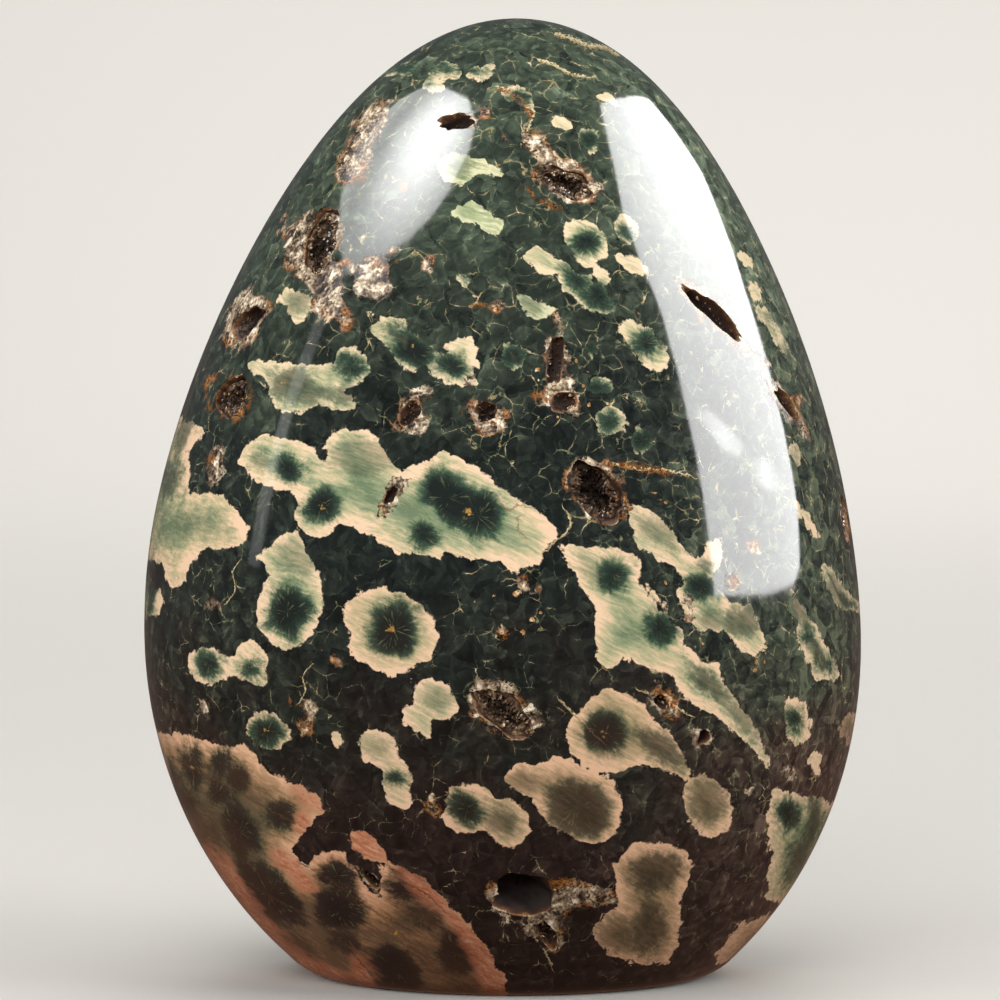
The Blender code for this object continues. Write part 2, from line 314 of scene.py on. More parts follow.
marks = {
    "centralBand": dict(tone=0.0, outline=[(238, 459), (243, 449), (253, 435), (266, 433), (283, 439),
        (303, 443), (313, 447), (321, 455), (324, 468), (326, 455), (323, 442), (332, 432), (345, 426),
        (354, 428), (370, 429), (376, 440), (385, 450), (390, 458), (397, 466), (402, 473), (404, 466),
        (411, 465), (426, 462), (438, 448), (453, 455), (469, 463), (489, 478), (506, 491), (522, 498),
        (539, 513), (554, 526), (556, 536), (544, 549), (542, 562), (531, 566), (519, 564), (519, 572),
        (512, 574), (509, 566), (499, 559), (486, 559), (473, 562), (463, 559), (453, 554), (440, 556),
        (430, 559), (413, 557), (393, 551), (381, 543), (370, 534), (355, 526), (340, 524), (335, 528),
        (322, 538), (312, 539), (300, 530), (292, 520), (296, 512), (300, 500), (293, 492), (275, 488),
        (259, 482), (251, 473), (240, 465)], cores=[(262, 462, 9, 7, 0, 0.5), (290, 470, 14, 12),
        (322, 505, 17, 16), (362, 460, 25, 20, 0, 0.4), (450, 498, 36, 23, 38), (478, 516, 24, 22, 38),
        (422, 530, 13, 12)], stars=[(468, 512, 5), (322, 506, 4)]),
    "longRightBlotch": dict(tone=0.0, outline=[(560, 546), (570, 541), (578, 545), (593, 545), (611, 546),
        (626, 550), (638, 558), (643, 569), (640, 583), (646, 593), (656, 604), (669, 616), (681, 629),
        (684, 639), (681, 644), (693, 652), (702, 662), (714, 662), (722, 671), (722, 681), (734, 696),
        (746, 712), (757, 729), (768, 755), (772, 768), (763, 766), (750, 750), (731, 729), (716, 717),
        (699, 707), (688, 701), (681, 691), (673, 676), (659, 669), (654, 671), (640, 664), (626, 659),
        (613, 667), (605, 671), (596, 661), (596, 646), (593, 636), (595, 626), (600, 618), (595, 603),
        (583, 589), (578, 580), (570, 566), (562, 553)], cores=[(613, 573, 17, 16), (659, 628, 15, 12, 40),
        (708, 684, 24, 9, 42, 0.8), (734, 711, 22, 4, 48, 0.6), (590, 570, 12, 8, 40, 0.3)]),
    "secondRightBlotch": dict(tone=-0.1, outline=[(630, 505), (638, 503), (646, 508), (659, 518),
        (668, 525), (676, 536), (686, 550), (696, 561), (706, 555), (706, 546), (712, 536), (721, 541),
        (724, 551), (716, 560), (716, 571), (711, 580), (721, 593), (731, 604), (741, 606), (747, 604),
        (756, 611), (756, 621), (764, 631), (767, 646), (757, 656), (747, 654), (739, 648), (731, 644),
        (727, 634), (716, 631), (704, 634), (694, 631), (689, 623), (689, 614), (681, 606), (676, 593),
        (683, 585), (681, 576), (673, 568), (659, 561), (649, 553), (639, 554), (634, 543), (634, 530),
        (628, 516)], cores=[(656, 531, 24, 8, 42, 0.5), (702, 588, 14, 12), (711, 618, 10, 8, 0, 0.5),
        (707, 565, 9, 7, 0, 0.8), (741, 621, 15, 12, 20, 0.7), (750, 610, 6, 5, 0, 0.8)]),
    "blobBelow": dict(tone=-0.1, outline=[(298, 529), (280, 537), (262, 549), (255, 557), (262, 566),
        (270, 575), (262, 588), (258, 600), (256, 623), (262, 635), (268, 642), (280, 648), (291, 651),
        (308, 640), (321, 618), (327, 605), (326, 593), (319, 576), (311, 559), (306, 543)],
        cores=[(287, 612, 22, 25), (296, 560, 20, 12, 60, 0.35)]),
    "starOrb": dict(tone=0.2, outline=[(341, 605), (347, 599), (356, 596), (363, 591), (372, 590),
        (380, 587), (388, 588), (397, 589), (405, 592), (414, 597), (420, 604), (427, 608), (430, 615),
        (435, 621), (436, 628), (438, 636), (436, 645), (434, 653), (430, 660), (423, 663), (415, 668),
        (407, 672), (398, 674), (388, 675), (375, 668), (367, 665), (357, 659), (352, 653), (348, 645),
        (350, 637), (350, 630), (344, 620)], cores=[(393, 630, 27, 25)], stars=[(391, 629, 5)]),
    "leftBlob": dict(tone=0.12, outline=[(190, 407), (192, 423), (200, 426), (208, 431), (205, 437),
        (194, 439), (190, 446), (185, 454), (187, 460), (190, 470), (191, 482), (189, 492), (199, 493),
        (208, 491), (218, 492), (226, 496), (232, 502), (235, 513), (242, 522), (247, 533), (246, 543),
        (235, 548), (224, 550), (210, 549), (200, 553), (194, 559), (187, 562), (187, 573), (185, 580),
        (182, 586), (168, 587), (166, 580), (164, 570), (164, 564), (159, 557), (158, 543), (160, 530),
        (163, 522), (160, 508), (159, 495), (162, 484), (167, 470), (171, 457), (175, 446), (173, 443),
        (176, 436), (179, 427), (184, 417)], cores=[(185, 433, 5, 11, 20, 0.7), (172, 481, 7, 16, 15, 0.8),
        (205, 526, 30, 12, 10, 0.14)]),
    "leftEdgeOrb": dict(tone=0.0, outline=[(150, 556), (154, 562), (158, 570), (160, 586), (161, 602),
        (159, 616), (154, 623), (146, 629), (141, 629), (138, 594), (142, 568)], cores=[(150, 592, 4, 17)]),
    "bowTie": dict(tone=0.0, outline=[(188, 655), (195, 647), (207, 645), (218, 650), (226, 658),
        (233, 657), (243, 643), (253, 641), (262, 645), (268, 655), (265, 668), (272, 685), (264, 689),
        (255, 687), (244, 682), (236, 677), (228, 675), (220, 683), (208, 686), (196, 680), (190, 668)],
        cores=[(209, 665, 12, 11), (251, 667, 11, 11)], stars=[(250, 665, 3)]),
    "smallOrb": dict(tone=0.1, outline=[(249, 716), (262, 712), (275, 712), (284, 720), (289, 731),
        (287, 743), (276, 750), (263, 750), (253, 743), (246, 731)], cores=[(267, 731, 15, 14)],
        stars=[(266, 731, 3)]),
    "dogBone": dict(tone=-0.3, outline=[(243, 361), (253, 359), (266, 362), (279, 364), (293, 363),
        (306, 366), (322, 364), (334, 361), (335, 353), (342, 346), (356, 348), (367, 359), (372, 371),
        (364, 381), (352, 387), (344, 392), (357, 401), (361, 409), (349, 412), (339, 411), (326, 407),
        (316, 406), (309, 411), (296, 414), (283, 412), (274, 407), (269, 397), (268, 386), (266, 379),
        (254, 374), (246, 367)], cores=[(351, 367, 13, 12), (289, 382, 22, 17, 0, 0.75),
        (324, 393, 28, 8, 5, 0.7)], stars=[(283, 384, 3)]),
    "smallShield": dict(tone=-0.2, rim=1.1, outline=[(278, 303), (283, 293), (291, 289), (301, 290),
        (313, 297), (321, 306), (317, 310), (308, 313), (303, 318), (296, 324), (289, 318), (286, 309)],
        cores=[(299, 303, 11, 8, 10, 0.5)]),
    "wavyPair": dict(tone=-0.25, rim=1.1, outline=[(364, 311), (373, 312), (388, 314), (396, 317),
        (403, 320), (408, 326), (415, 331), (419, 336), (424, 343), (430, 346), (436, 350), (443, 353),
        (448, 353), (446, 345), (450, 342), (459, 341), (468, 338), (473, 342), (477, 350), (474, 356),
        (481, 368), (470, 365), (472, 372), (478, 380), (473, 385), (461, 385), (449, 385), (444, 380),
        (436, 375), (431, 371), (428, 366), (423, 366), (417, 368), (413, 372), (406, 370), (398, 365),
        (396, 361), (396, 357), (391, 354), (385, 349), (384, 344), (377, 340), (372, 334), (369, 331),
        (373, 323), (380, 324)], cores=[(413, 352, 22, 14, 25), (450, 367, 18, 13), (400, 331, 10, 4, 20)],
        stars=[(412, 347, 3)]),
    "paleBean": dict(tone=-0.9, outline=[(451, 211), (461, 203), (475, 202), (488, 211), (497, 219),
        (505, 227), (500, 235), (488, 236), (479, 227), (472, 222), (461, 220)]),
    "doublePale": dict(tone=-0.8, outline=[(440, 163), (447, 154), (461, 152), (474, 156), (481, 161),
        (495, 165), (506, 174), (502, 177), (491, 176), (479, 170), (472, 179), (459, 188), (449, 181),
        (440, 172)], cores=[(458, 168, 10, 8, 0, 0.5)]),
    "starSmall": dict(tone=-0.35, outline=[(565, 226), (572, 222), (581, 220), (590, 222), (599, 227),
        (606, 236), (609, 247), (604, 256), (597, 262), (590, 266), (581, 265), (574, 260), (565, 247),
        (563, 236)], cores=[(586, 243, 13, 12)]),
    "longTop": dict(tone=-0.35, outline=[(522, 256), (536, 242), (549, 251), (563, 261), (577, 270),
        (591, 279), (606, 290), (616, 302), (616, 313), (606, 315), (590, 310), (575, 299), (561, 288),
        (557, 279), (559, 274), (549, 276), (538, 269), (527, 263)], cores=[(577, 280, 14, 9, 38),
        (597, 296, 15, 12, 38)]),
    "besideLongTop": dict(tone=-0.3, outline=[(590, 272), (597, 265), (611, 274), (609, 285), (599, 283)]),
    "oliveLozenge": dict(tone=-0.8, rim=0.8, outline=[(516, 294), (525, 294), (541, 299), (553, 308),
        (549, 317), (534, 319), (522, 308)], cores=[(534, 307, 9, 6, 20, 0.5)]),
    "topWedge": dict(tone=-0.3, outline=[(618, 319), (632, 320), (648, 326), (660, 338), (669, 352),
        (669, 367), (655, 372), (641, 362), (630, 346), (620, 333)], cores=[(646, 343, 15, 12, 45)]),
    "midRing": dict(tone=-0.4, rim=0.7, outline=[(499, 349), (508, 342), (519, 343), (527, 352), (526, 364),
        (516, 371), (505, 368), (499, 359)], cores=[(513, 357, 9, 8)]),
    "crownDiamond": dict(tone=-0.1, rim=0.5, outline=[(500, 91), (516, 87), (527, 90), (535, 101),
        (532, 109), (520, 106), (507, 99)], cores=[(518, 97, 8, 5)]),
    "crownRing": dict(tone=-0.2, rim=0.42, outline=[(425, 72), (441, 61), (454, 63), (463, 73), (456, 78),
        (438, 77)], cores=[(445, 70, 12, 5)]),
    "crownRingRight": dict(tone=-0.2, rim=0.42, outline=[(466, 74), (474, 66), (488, 63), (499, 64),
        (491, 74), (482, 81), (470, 78)], cores=[(480, 72, 10, 5)]),
    "crownStreakLeft": dict(tone=-0.4, rim=0.42, outline=[(388, 70), (404, 62), (422, 64), (424, 70),
        (408, 76), (392, 76)], cores=[(406, 69, 12, 4)]),
    "crownDot": dict(tone=-0.4, rim=0.4, outline=[(421, 84), (432, 77), (443, 82), (442, 90), (430, 92)],
        cores=[(432, 85, 6, 4)]),
    "greenDot": dict(tone=-0.5, rim=0.45, outline=[(458, 278), (464, 273), (472, 278), (470, 284),
        (461, 285)], cores=[(465, 279, 5, 4)]),
    "upperRightOval": dict(tone=-0.3, rim=0.7, outline=[(614, 221), (622, 213), (632, 220), (638, 236),
        (633, 248), (622, 243), (615, 233)], cores=[(626, 231, 7, 11, -10)]),
    "upperRing": dict(tone=-0.3, rim=0.6, outline=[(576, 132), (588, 127), (599, 134), (601, 146),
        (593, 155), (581, 150)], cores=[(589, 139, 9, 9)]),
    "upperStreak": dict(tone=-0.2, outline=[(552, 119), (563, 117), (574, 126), (566, 131), (555, 127)]),
    "upperStreakRight": dict(tone=-0.2, outline=[(595, 94), (606, 92), (619, 101), (615, 106), (601, 102)]),
    "middleRing": dict(tone=-0.3, rim=0.75, outline=[(595, 414), (606, 405), (619, 409), (626, 420),
        (622, 433), (608, 438), (597, 430)], cores=[(610, 422, 11, 10)]),
    "middleRingRight": dict(tone=-0.3, rim=0.7, outline=[(630, 432), (637, 421), (645, 427), (655, 437),
        (652, 449), (641, 455), (632, 447)], cores=[(642, 441, 9, 9)]),
    "faintRing": dict(tone=-0.6, rim=0.55, outline=[(585, 381), (597, 376), (610, 381), (614, 391),
        (602, 397), (588, 392)], cores=[(599, 387, 10, 7)]),
    "faintRingAbove": dict(tone=-0.6, rim=0.5, outline=[(582, 344), (591, 340), (600, 346), (599, 355),
        (588, 357)], cores=[(591, 348, 6, 5)]),
    "sageMiddle": dict(tone=0.05, outline=[(415, 682), (432, 679), (449, 684), (457, 697), (459, 712),
        (449, 722), (432, 720), (430, 728), (438, 737), (424, 740), (413, 728), (403, 722), (399, 709),
        (409, 706), (415, 703), (413, 690)], cores=[(435, 697, 14, 9, 0, 0.3)]),
    "sageLower": dict(tone=0.15, outline=[(356, 735), (369, 728), (386, 733), (396, 743), (398, 752),
        (396, 758), (409, 764), (416, 779), (409, 789), (412, 800), (407, 808), (390, 807), (382, 802),
        (386, 792), (371, 788), (384, 785), (382, 768), (369, 766), (360, 754)], cores=[(396, 777, 6, 5),
        (378, 748, 12, 8, 0, 0.3)]),
    "sageDot": dict(tone=0.1, outline=[(328, 730), (337, 733), (346, 741), (338, 749), (331, 743)]),
    "lowerOrb": dict(tone=0.45, outline=[(565, 735), (569, 722), (578, 712), (590, 700), (598, 690),
        (605, 687), (614, 688), (625, 692), (636, 699), (645, 709), (652, 716), (660, 725), (668, 731),
        (676, 741), (684, 752), (690, 762), (694, 774), (686, 781), (675, 776), (664, 773), (652, 768),
        (640, 763), (632, 766), (624, 770), (613, 772), (600, 772), (587, 767), (575, 757), (568, 747)],
        cores=[(605, 734, 22, 21), (657, 745, 22, 11, 35, 0.75)], stars=[(604, 734, 4)]),
    "rightLobe": dict(tone=0.5, outline=[(683, 784), (690, 775), (702, 772), (714, 777), (724, 787),
        (731, 800), (732, 815), (728, 829), (718, 837), (706, 838), (696, 830), (687, 818), (682, 802)],
        cores=[(708, 802, 15, 18, -10, 0.6)]),
    "lowerMiddle": dict(tone=0.6, outline=[(504, 776), (512, 767), (524, 762), (536, 766), (545, 763),
        (556, 758), (570, 760), (584, 768), (600, 775), (612, 780), (619, 792), (622, 806), (621, 820),
        (616, 834), (606, 843), (592, 846), (578, 843), (565, 836), (552, 828), (541, 817), (535, 803),
        (524, 797), (512, 793), (504, 786)], cores=[(578, 806, 32, 24, 25, 0.85),
        (523, 783, 12, 9, 0, 0.35)]),
    "lowerLeft": dict(tone=0.45, outline=[(443, 785), (457, 782), (478, 783), (491, 792), (502, 798),
        (518, 800), (529, 815), (530, 829), (525, 842), (512, 850), (495, 844), (483, 829), (474, 834),
        (462, 834), (449, 825), (443, 815), (447, 802)], cores=[(466, 809, 16, 14),
        (500, 821, 13, 10, 20, 0.6)]),
    "footDouble": dict(tone=0.7, outline=[(631, 847), (642, 842), (656, 843), (667, 844), (675, 849),
        (684, 849), (692, 858), (695, 866), (690, 881), (684, 895), (680, 902), (682, 916), (679, 935),
        (679, 944), (669, 963), (656, 963), (646, 967), (636, 963), (619, 962), (606, 954), (596, 942),
        (593, 929), (600, 918), (608, 910), (619, 908), (619, 896), (615, 879), (612, 868), (619, 856)],
        cores=[(656, 871, 22, 18, -20, 0.75), (648, 927, 15, 20, 0, 0.7), (619, 933, 15, 13, 0, 0.5)]),
    "tanPatch": dict(tone=0.8, outline=[(166, 730), (190, 736), (207, 742), (221, 743), (234, 747),
        (247, 744), (255, 754), (260, 763), (272, 771), (283, 777), (293, 782), (303, 784), (313, 791),
        (320, 799), (327, 812), (314, 816), (313, 823), (303, 830), (298, 842), (290, 853), (298, 862),
        (308, 872), (322, 892), (300, 905), (262, 905), (230, 892), (208, 866), (188, 836), (174, 795),
        (164, 760)], cores=[(191, 764, 9, 20, -12), (221, 764, 11, 12), (237, 779, 11, 11),
        (217, 794, 12, 12), (187, 800, 7, 22, -22), (240, 832, 15, 25, -25), (281, 814, 14, 13),
        (206, 828, 15, 20, -25, 0.5)], stars=[(192, 767, 3)]),
    "footPatch": dict(tone=1.0, outline=[(215, 860), (250, 858), (296, 866), (308, 868), (318, 853),
        (332, 851), (345, 854), (352, 866), (364, 884), (374, 898), (380, 890), (378, 874), (388, 862),
        (402, 866), (424, 880), (440, 895), (457, 912), (470, 928), (483, 943), (493, 960), (504, 978),
        (511, 998), (440, 1004), (360, 1002), (318, 992), (286, 966), (250, 925), (228, 892)],
        cores=[(338, 876, 14, 12), (268, 893, 38, 19, 48), (341, 909, 25, 21, 40),
        (346, 938, 16, 12, 30, 0.85), (413, 890, 22, 14, 25), (421, 911, 20, 12, 55, 0.85),
        (456, 953, 18, 20, -20), (396, 970, 30, 22, 40), (296, 950, 24, 12, 45, 0.45)],
        stars=[(398, 934, 4), (454, 954, 2)]),
    "salmonLobe": dict(tone=1.0, outline=[(349, 838), (352, 830), (358, 834), (360, 826), (370, 833),
        (377, 838), (381, 848), (388, 853), (385, 862), (375, 863), (365, 861), (356, 850)]),
    "rightThin": dict(tone=-0.1, rim=0.45, outline=[(790, 445), (796, 441), (801, 452), (803, 464),
        (796, 466), (790, 457)], cores=[(796, 454, 3, 6, -20, 0.6)]),
    "rightLongLeaf": dict(tone=-0.3, rim=0.5, outline=[(752, 305), (760, 307), (767, 310), (772, 317),
        (777, 326), (785, 340), (792, 353), (797, 366), (796, 374), (790, 362), (779, 350), (770, 335),
        (760, 317)], cores=[(767, 319, 4, 7, -35, 0.8), (787, 350, 4, 9, -30, 0.9)]),
    "rightPaleHigh": dict(tone=-0.3, outline=[(748, 284), (755, 281), (761, 291), (760, 300), (753, 298)]),
    "rightStreakHigh": dict(tone=-0.4, outline=[(738, 254), (744, 252), (751, 258), (755, 267), (749, 268),
        (743, 262)]),
    "rightSliver": dict(tone=-0.1, outline=[(793, 502), (799, 500), (808, 514), (818, 530), (819, 538),
        (811, 534), (801, 518)]),
    "rightDot": dict(tone=-0.1, rim=0.45, outline=[(804, 570), (811, 564), (818, 571), (813, 580),
        (806, 578)], cores=[(811, 572, 4, 4)]),
    "rightLeaf": dict(tone=-0.15, rim=0.5, outline=[(820, 564), (829, 564), (839, 579), (846, 591),
        (849, 617), (842, 611), (833, 602), (826, 588)], cores=[(835, 588, 4, 9, -20, 0.6)]),
    "rightLongRing": dict(tone=-0.1, rim=0.7, outline=[(788, 585), (798, 599), (810, 614), (819, 632),
        (829, 649), (838, 664), (838, 679), (824, 680), (814, 679), (811, 664), (804, 655), (797, 635),
        (797, 617), (791, 602)], cores=[(808, 637, 7, 9, -20), (820, 664, 6, 8, -20), (830, 667, 5, 7),
        (799, 610, 4, 10, -20, 0.7)]),
    "rightEye": dict(tone=0.1, outline=[(784, 704), (788, 699), (798, 699), (807, 705), (811, 725),
        (804, 746), (792, 746), (782, 728)], cores=[(797, 719, 8, 10)]),
    "rightEyeBelow": dict(tone=0.1, outline=[(813, 749), (822, 758), (816, 780), (808, 761)]),
    "rightTanRing": dict(tone=0.6, outline=[(838, 715), (845, 709), (852, 720), (853, 738), (848, 754),
        (841, 757), (837, 738)], cores=[(845, 733, 4, 14, 0, 0.5)]),
    "rightLowerBlotch": dict(tone=0.15, outline=[(772, 784), (780, 790), (798, 794), (805, 799), (823, 796),
        (823, 816), (817, 834), (811, 847), (807, 864), (799, 877), (786, 891), (772, 904), (763, 902),
        (768, 885), (764, 881), (772, 860), (767, 834), (769, 811)], cores=[(788, 815, 12, 12),
        (814, 816, 6, 14, 0, 0.9), (799, 857, 7, 17, 15, 0.8)]),
    "rightFootBand": dict(tone=0.7, outline=[(709, 962), (724, 946), (740, 923), (751, 919), (768, 908),
        (768, 918), (751, 935), (732, 954), (717, 967)]),
    "upperStreakLow": dict(tone=-0.3, outline=[(616, 257), (628, 255), (641, 264), (648, 273), (638, 276),
        (624, 268)]),
    "lozenge": dict(tone=0.0, outline=[(646, 585), (655, 588), (666, 602), (661, 608), (650, 598)])}

# Where the jasper gives way to quartz and rust on the front, in the same pixels
quartzZones = {
    "archZone": [(520, 130), (534, 126), (548, 132), (552, 142), (562, 148), (558, 162), (568, 176),
        (584, 174), (600, 180), (606, 190), (592, 197), (572, 194), (556, 192), (544, 182), (536, 166),
        (526, 152)],
    "holeRim": [(486, 880), (492, 876), (494, 892), (502, 908), (514, 916), (526, 922), (536, 934),
        (526, 936), (510, 926), (496, 914), (487, 898)],
    "crownLeftZone": [(392, 92), (372, 104), (352, 128), (342, 150), (336, 170), (342, 192), (360, 180),
        (372, 158), (384, 130), (398, 108)],
    "leftPocketZone": [(288, 218), (310, 212), (326, 226), (322, 250), (338, 268), (344, 292), (356, 318),
        (340, 330), (322, 322), (312, 300), (300, 280), (286, 262), (276, 240)],
    "pocketRightZone": [(350, 264), (366, 254), (384, 258), (394, 272), (390, 290), (376, 302), (358, 296),
        (352, 280)],
    "leftHollowZone": [(228, 300), (250, 288), (266, 300), (262, 322), (252, 340), (238, 352), (226, 344),
        (222, 322)],
    "smallVugZone": [(468, 398), (488, 396), (502, 406), (514, 412), (500, 426), (484, 434), (470, 424),
        (458, 412)],
    "starHoleZone": [(400, 402), (414, 396), (424, 404), (432, 414), (424, 432), (410, 434), (398, 420)],
    "seamZone": [(548, 338), (562, 344), (572, 362), (578, 384), (584, 408), (570, 418), (552, 412),
        (540, 396), (546, 376), (542, 356)],
    "brownVugZone": [(572, 462), (592, 458), (612, 464), (624, 476), (622, 494), (616, 512), (604, 526),
        (590, 518), (576, 504), (568, 488)],
    "rustyHollowZone": [(476, 690), (496, 692), (512, 702), (528, 716), (536, 738), (520, 742), (500, 732),
        (484, 722), (470, 706)],
    "salmonLeftZone": [(300, 706), (312, 700), (320, 714), (318, 738), (308, 744), (302, 728)],
    "pinHoleZone": [(692, 730), (705, 727), (714, 736), (711, 747), (700, 751), (691, 742)],
    "leftCrystalZone": [(208, 452), (220, 448), (228, 462), (222, 480), (212, 488), (206, 472)],
    "leftSmallZone": [(198, 600), (210, 595), (224, 600), (222, 611), (206, 612)],
    "footVeinZone": [(536, 906), (552, 896), (566, 884), (590, 884), (616, 900), (604, 910), (580, 902),
        (566, 912), (560, 936), (548, 962), (536, 944), (530, 922)],
    "speckledZone": [(420, 792), (432, 788), (441, 800), (438, 814), (426, 814)],
    "edgeZone": [(838, 508), (848, 500), (856, 516), (856, 538), (846, 536)]}

# Where the low patches turn to salmon and orange
salmonZones = {
    "outlineStreak": [(203, 844), (218, 850), (232, 862), (236, 874), (246, 886), (254, 900), (264, 914),
        (250, 918), (228, 890), (212, 866)],
    "orangeRim": [(246, 902), (262, 915), (276, 930), (292, 945), (318, 962), (345, 972), (352, 980),
        (336, 990), (300, 980), (268, 950), (246, 920)],
    "innerStreak": [(264, 846), (280, 852), (296, 863), (310, 878), (318, 892), (306, 890), (292, 878),
        (276, 864)],
    "footRim": [(389, 862), (402, 866), (424, 880), (440, 895), (457, 912), (470, 928), (483, 943),
        (493, 960), (504, 978), (512, 998), (486, 998), (478, 976), (466, 950), (452, 927), (432, 906),
        (410, 884)],
    "footTongue": [(350, 948), (364, 956), (374, 974), (380, 994), (360, 994), (352, 972)],
    "lobe": [(344, 838), (360, 822), (380, 836), (392, 854), (376, 866), (356, 852)],
    "tanRim": [(290, 780), (305, 782), (322, 798), (328, 814), (308, 812), (294, 796)],
    "tanRimLow": [(294, 822), (302, 810), (314, 820), (304, 832), (296, 838)]}

# Small spots of the same (x, y, radius)
quartzSpots = [(735, 580, 6), (700, 475, 6), (755, 545, 4), (684, 582, 4), (688, 600, 4), (680, 572, 3),
               (690, 618, 4), (503, 631, 6), (525, 585, 6), (540, 590, 6), (470, 380, 4), (430, 262, 5),
               (392, 250, 6), (376, 268, 5), (748, 792, 4), (789, 771, 4), (605, 352, 4), (497, 308, 4),
               (441, 305, 3), (332, 660, 4), (320, 662, 3), (208, 705, 5), (688, 286, 4), (704, 314, 3),
               (744, 333, 4), (743, 344, 5), (765, 365, 6), (771, 380, 4), (797, 401, 5), (790, 418, 5),
               (485, 113, 6), (504, 136, 3)]

# Rust: bands along a seam (x, y down the middle) and spots (x, y, radius)
rustBands = {
    "vugSeam": [(600, 464), (624, 466), (650, 470), (688, 475)],
    "archFoot": [(526, 188), (540, 200), (560, 208)],
    "archNeck": [(500, 90), (520, 100), (532, 116)],
    "pocketFoot": [(316, 300), (330, 316), (346, 328), (358, 322)],
    "ringTop": [(214, 378), (232, 376), (250, 386)],
    "pocketSide": [(344, 262), (366, 258), (380, 270), (398, 262)],
    "ringLeft": [(208, 378), (204, 392), (208, 406), (222, 416)],
    "ringRight": [(234, 418), (246, 408), (252, 392)],
    "hollowFoot": [(226, 346), (236, 340)],
    "seamRust": [(544, 352), (548, 372), (556, 392), (568, 408)],
    "seamAcross": [(536, 396), (560, 404), (584, 404)],
    "smallVugRust": [(470, 402), (486, 418), (500, 418)],
    "upperRust": [(470, 305), (488, 306), (500, 312)],
    "notchRust": [(441, 129), (446, 136), (444, 142)],
    "holeRust": [(548, 882), (566, 882), (588, 886)],
    "rightRust": [(650, 690), (664, 694), (676, 706)],
    "lowLeftRust": [(302, 706), (306, 722), (310, 738)]}
rustSpots = [(404, 187, 4), (345, 312, 6), (376, 262, 4), (735, 580, 4), (700, 474, 4), (755, 545, 3),
             (503, 636, 4), (616, 480, 3), (606, 352, 3), (212, 460, 4), (290, 700, 3), (420, 402, 4),
             (744, 331, 3), (465, 110, 3), (483, 119, 3), (443, 142, 3)]


# Veins that stand out (x, y along the middle), and where white chips are strewn thickly
veins = {
    "crownVein": [(556, 34), (572, 39), (588, 46), (606, 47), (618, 55)],
    "crownVeinLow": [(540, 60), (556, 66), (570, 74), (590, 78)],
    "archVein": [(500, 88), (520, 98), (534, 112), (528, 128), (524, 140)],
    "rustyVein": [(590, 468), (612, 464), (640, 470), (664, 470), (690, 476)],
    "bandVein": [(385, 488), (394, 500), (402, 502), (412, 508)],
    "bandNet": [(498, 500), (508, 512), (520, 520), (516, 530), (526, 538)],
    "bandNetUp": [(508, 512), (518, 504), (530, 508)],
    "joinVein": [(548, 548), (556, 540), (566, 534), (572, 522), (566, 510)],
    "pinHoleVein": [(560, 700), (575, 716), (590, 730), (602, 742)],
    "footVein": [(536, 906), (528, 920), (534, 936), (544, 950), (552, 966)],
    "footVeinUp": [(552, 892), (570, 886), (592, 890), (612, 902)],
    "patchVein": [(170, 756), (200, 772), (232, 788), (262, 806), (296, 824)],
    "footPatchVein": [(250, 884), (280, 902), (316, 920), (350, 950), (380, 985)],
    "footPatchVeinUp": [(300, 862), (330, 880), (352, 896), (380, 915), (410, 930)],
    "salmonVein": [(388, 864), (400, 880), (424, 892), (448, 914)],
    "rightVein": [(640, 690), (664, 700), (690, 716)],
    "leftVein": [(226, 604), (236, 590), (232, 572), (240, 560)],
    "lowLeftVein": [(300, 702), (306, 690), (302, 676), (312, 664)]}

# How many times as wide as the rest some of them are
veinWidths = {"crownVein": 2.2, "crownVeinLow": 1.6, "archVein": 1.4, "rustyVein": 1.5, "joinVein": 1.2,
              "footVeinUp": 1.4, "footVein": 1.2, "leftVein": 0.6, "lowLeftVein": 0.6}

speckZones = {
    "betweenBlotches": [(636, 556), (648, 556), (664, 566), (680, 580), (690, 600), (700, 630), (716, 646),
        (706, 656), (690, 640), (678, 614), (660, 584)],
    "brownVugSpecks": [(620, 488), (650, 482), (700, 492), (690, 510), (640, 506)],
    "middleSpecks": [(470, 590), (540, 580), (560, 610), (530, 650), (480, 640)],
    "speckledFoot": [(408, 776), (440, 780), (448, 812), (432, 832), (412, 812)],
    "seamSpecks": [(536, 326), (570, 334), (590, 380), (600, 420), (560, 430), (530, 400)],
    "rightSpecks": [(744, 660), (770, 650), (800, 690), (776, 730), (748, 710)]}


def roundOutline(outline, cuts=2):
    # each corner is cut at about a fifth of its sides, twice over
    points = np.array(outline, float)
    for _ in range(cuts):
        after = np.roll(points, -1, axis=0)
        points = np.stack((points * 0.78 + after * 0.22, points * 0.22 + after * 0.78), axis=1).reshape(-1, 2)
    return points


def pathGap(pixels, path):
    # gap in pixels to an open line of straight runs, and which side of the nearest run: -1 or 1
    start, side = np.array(path[:-1], float), np.diff(np.array(path, float), axis=0)
    here = pixels[:, None, :] - start[None]
    share = np.clip((here * side).sum(axis=2) / (side ** 2).sum(axis=1), 0, 1)
    gaps = np.linalg.norm(here - share[..., None] * side, axis=2)
    nearest = gaps.argmin(axis=1)
    here, side = here[np.arange(len(here)), nearest], side[nearest]
    return gaps.min(axis=1), np.sign(side[:, 0] * here[:, 1] - side[:, 1] * here[:, 0])


# A mark that reaches the stone's outline in the picture carries on round the side: its corners this near the
# outline, or as low as its foot, are moved outward, all in pixels
limbEdge = {"near": 12, "outward": 28, "footFrom": 985}


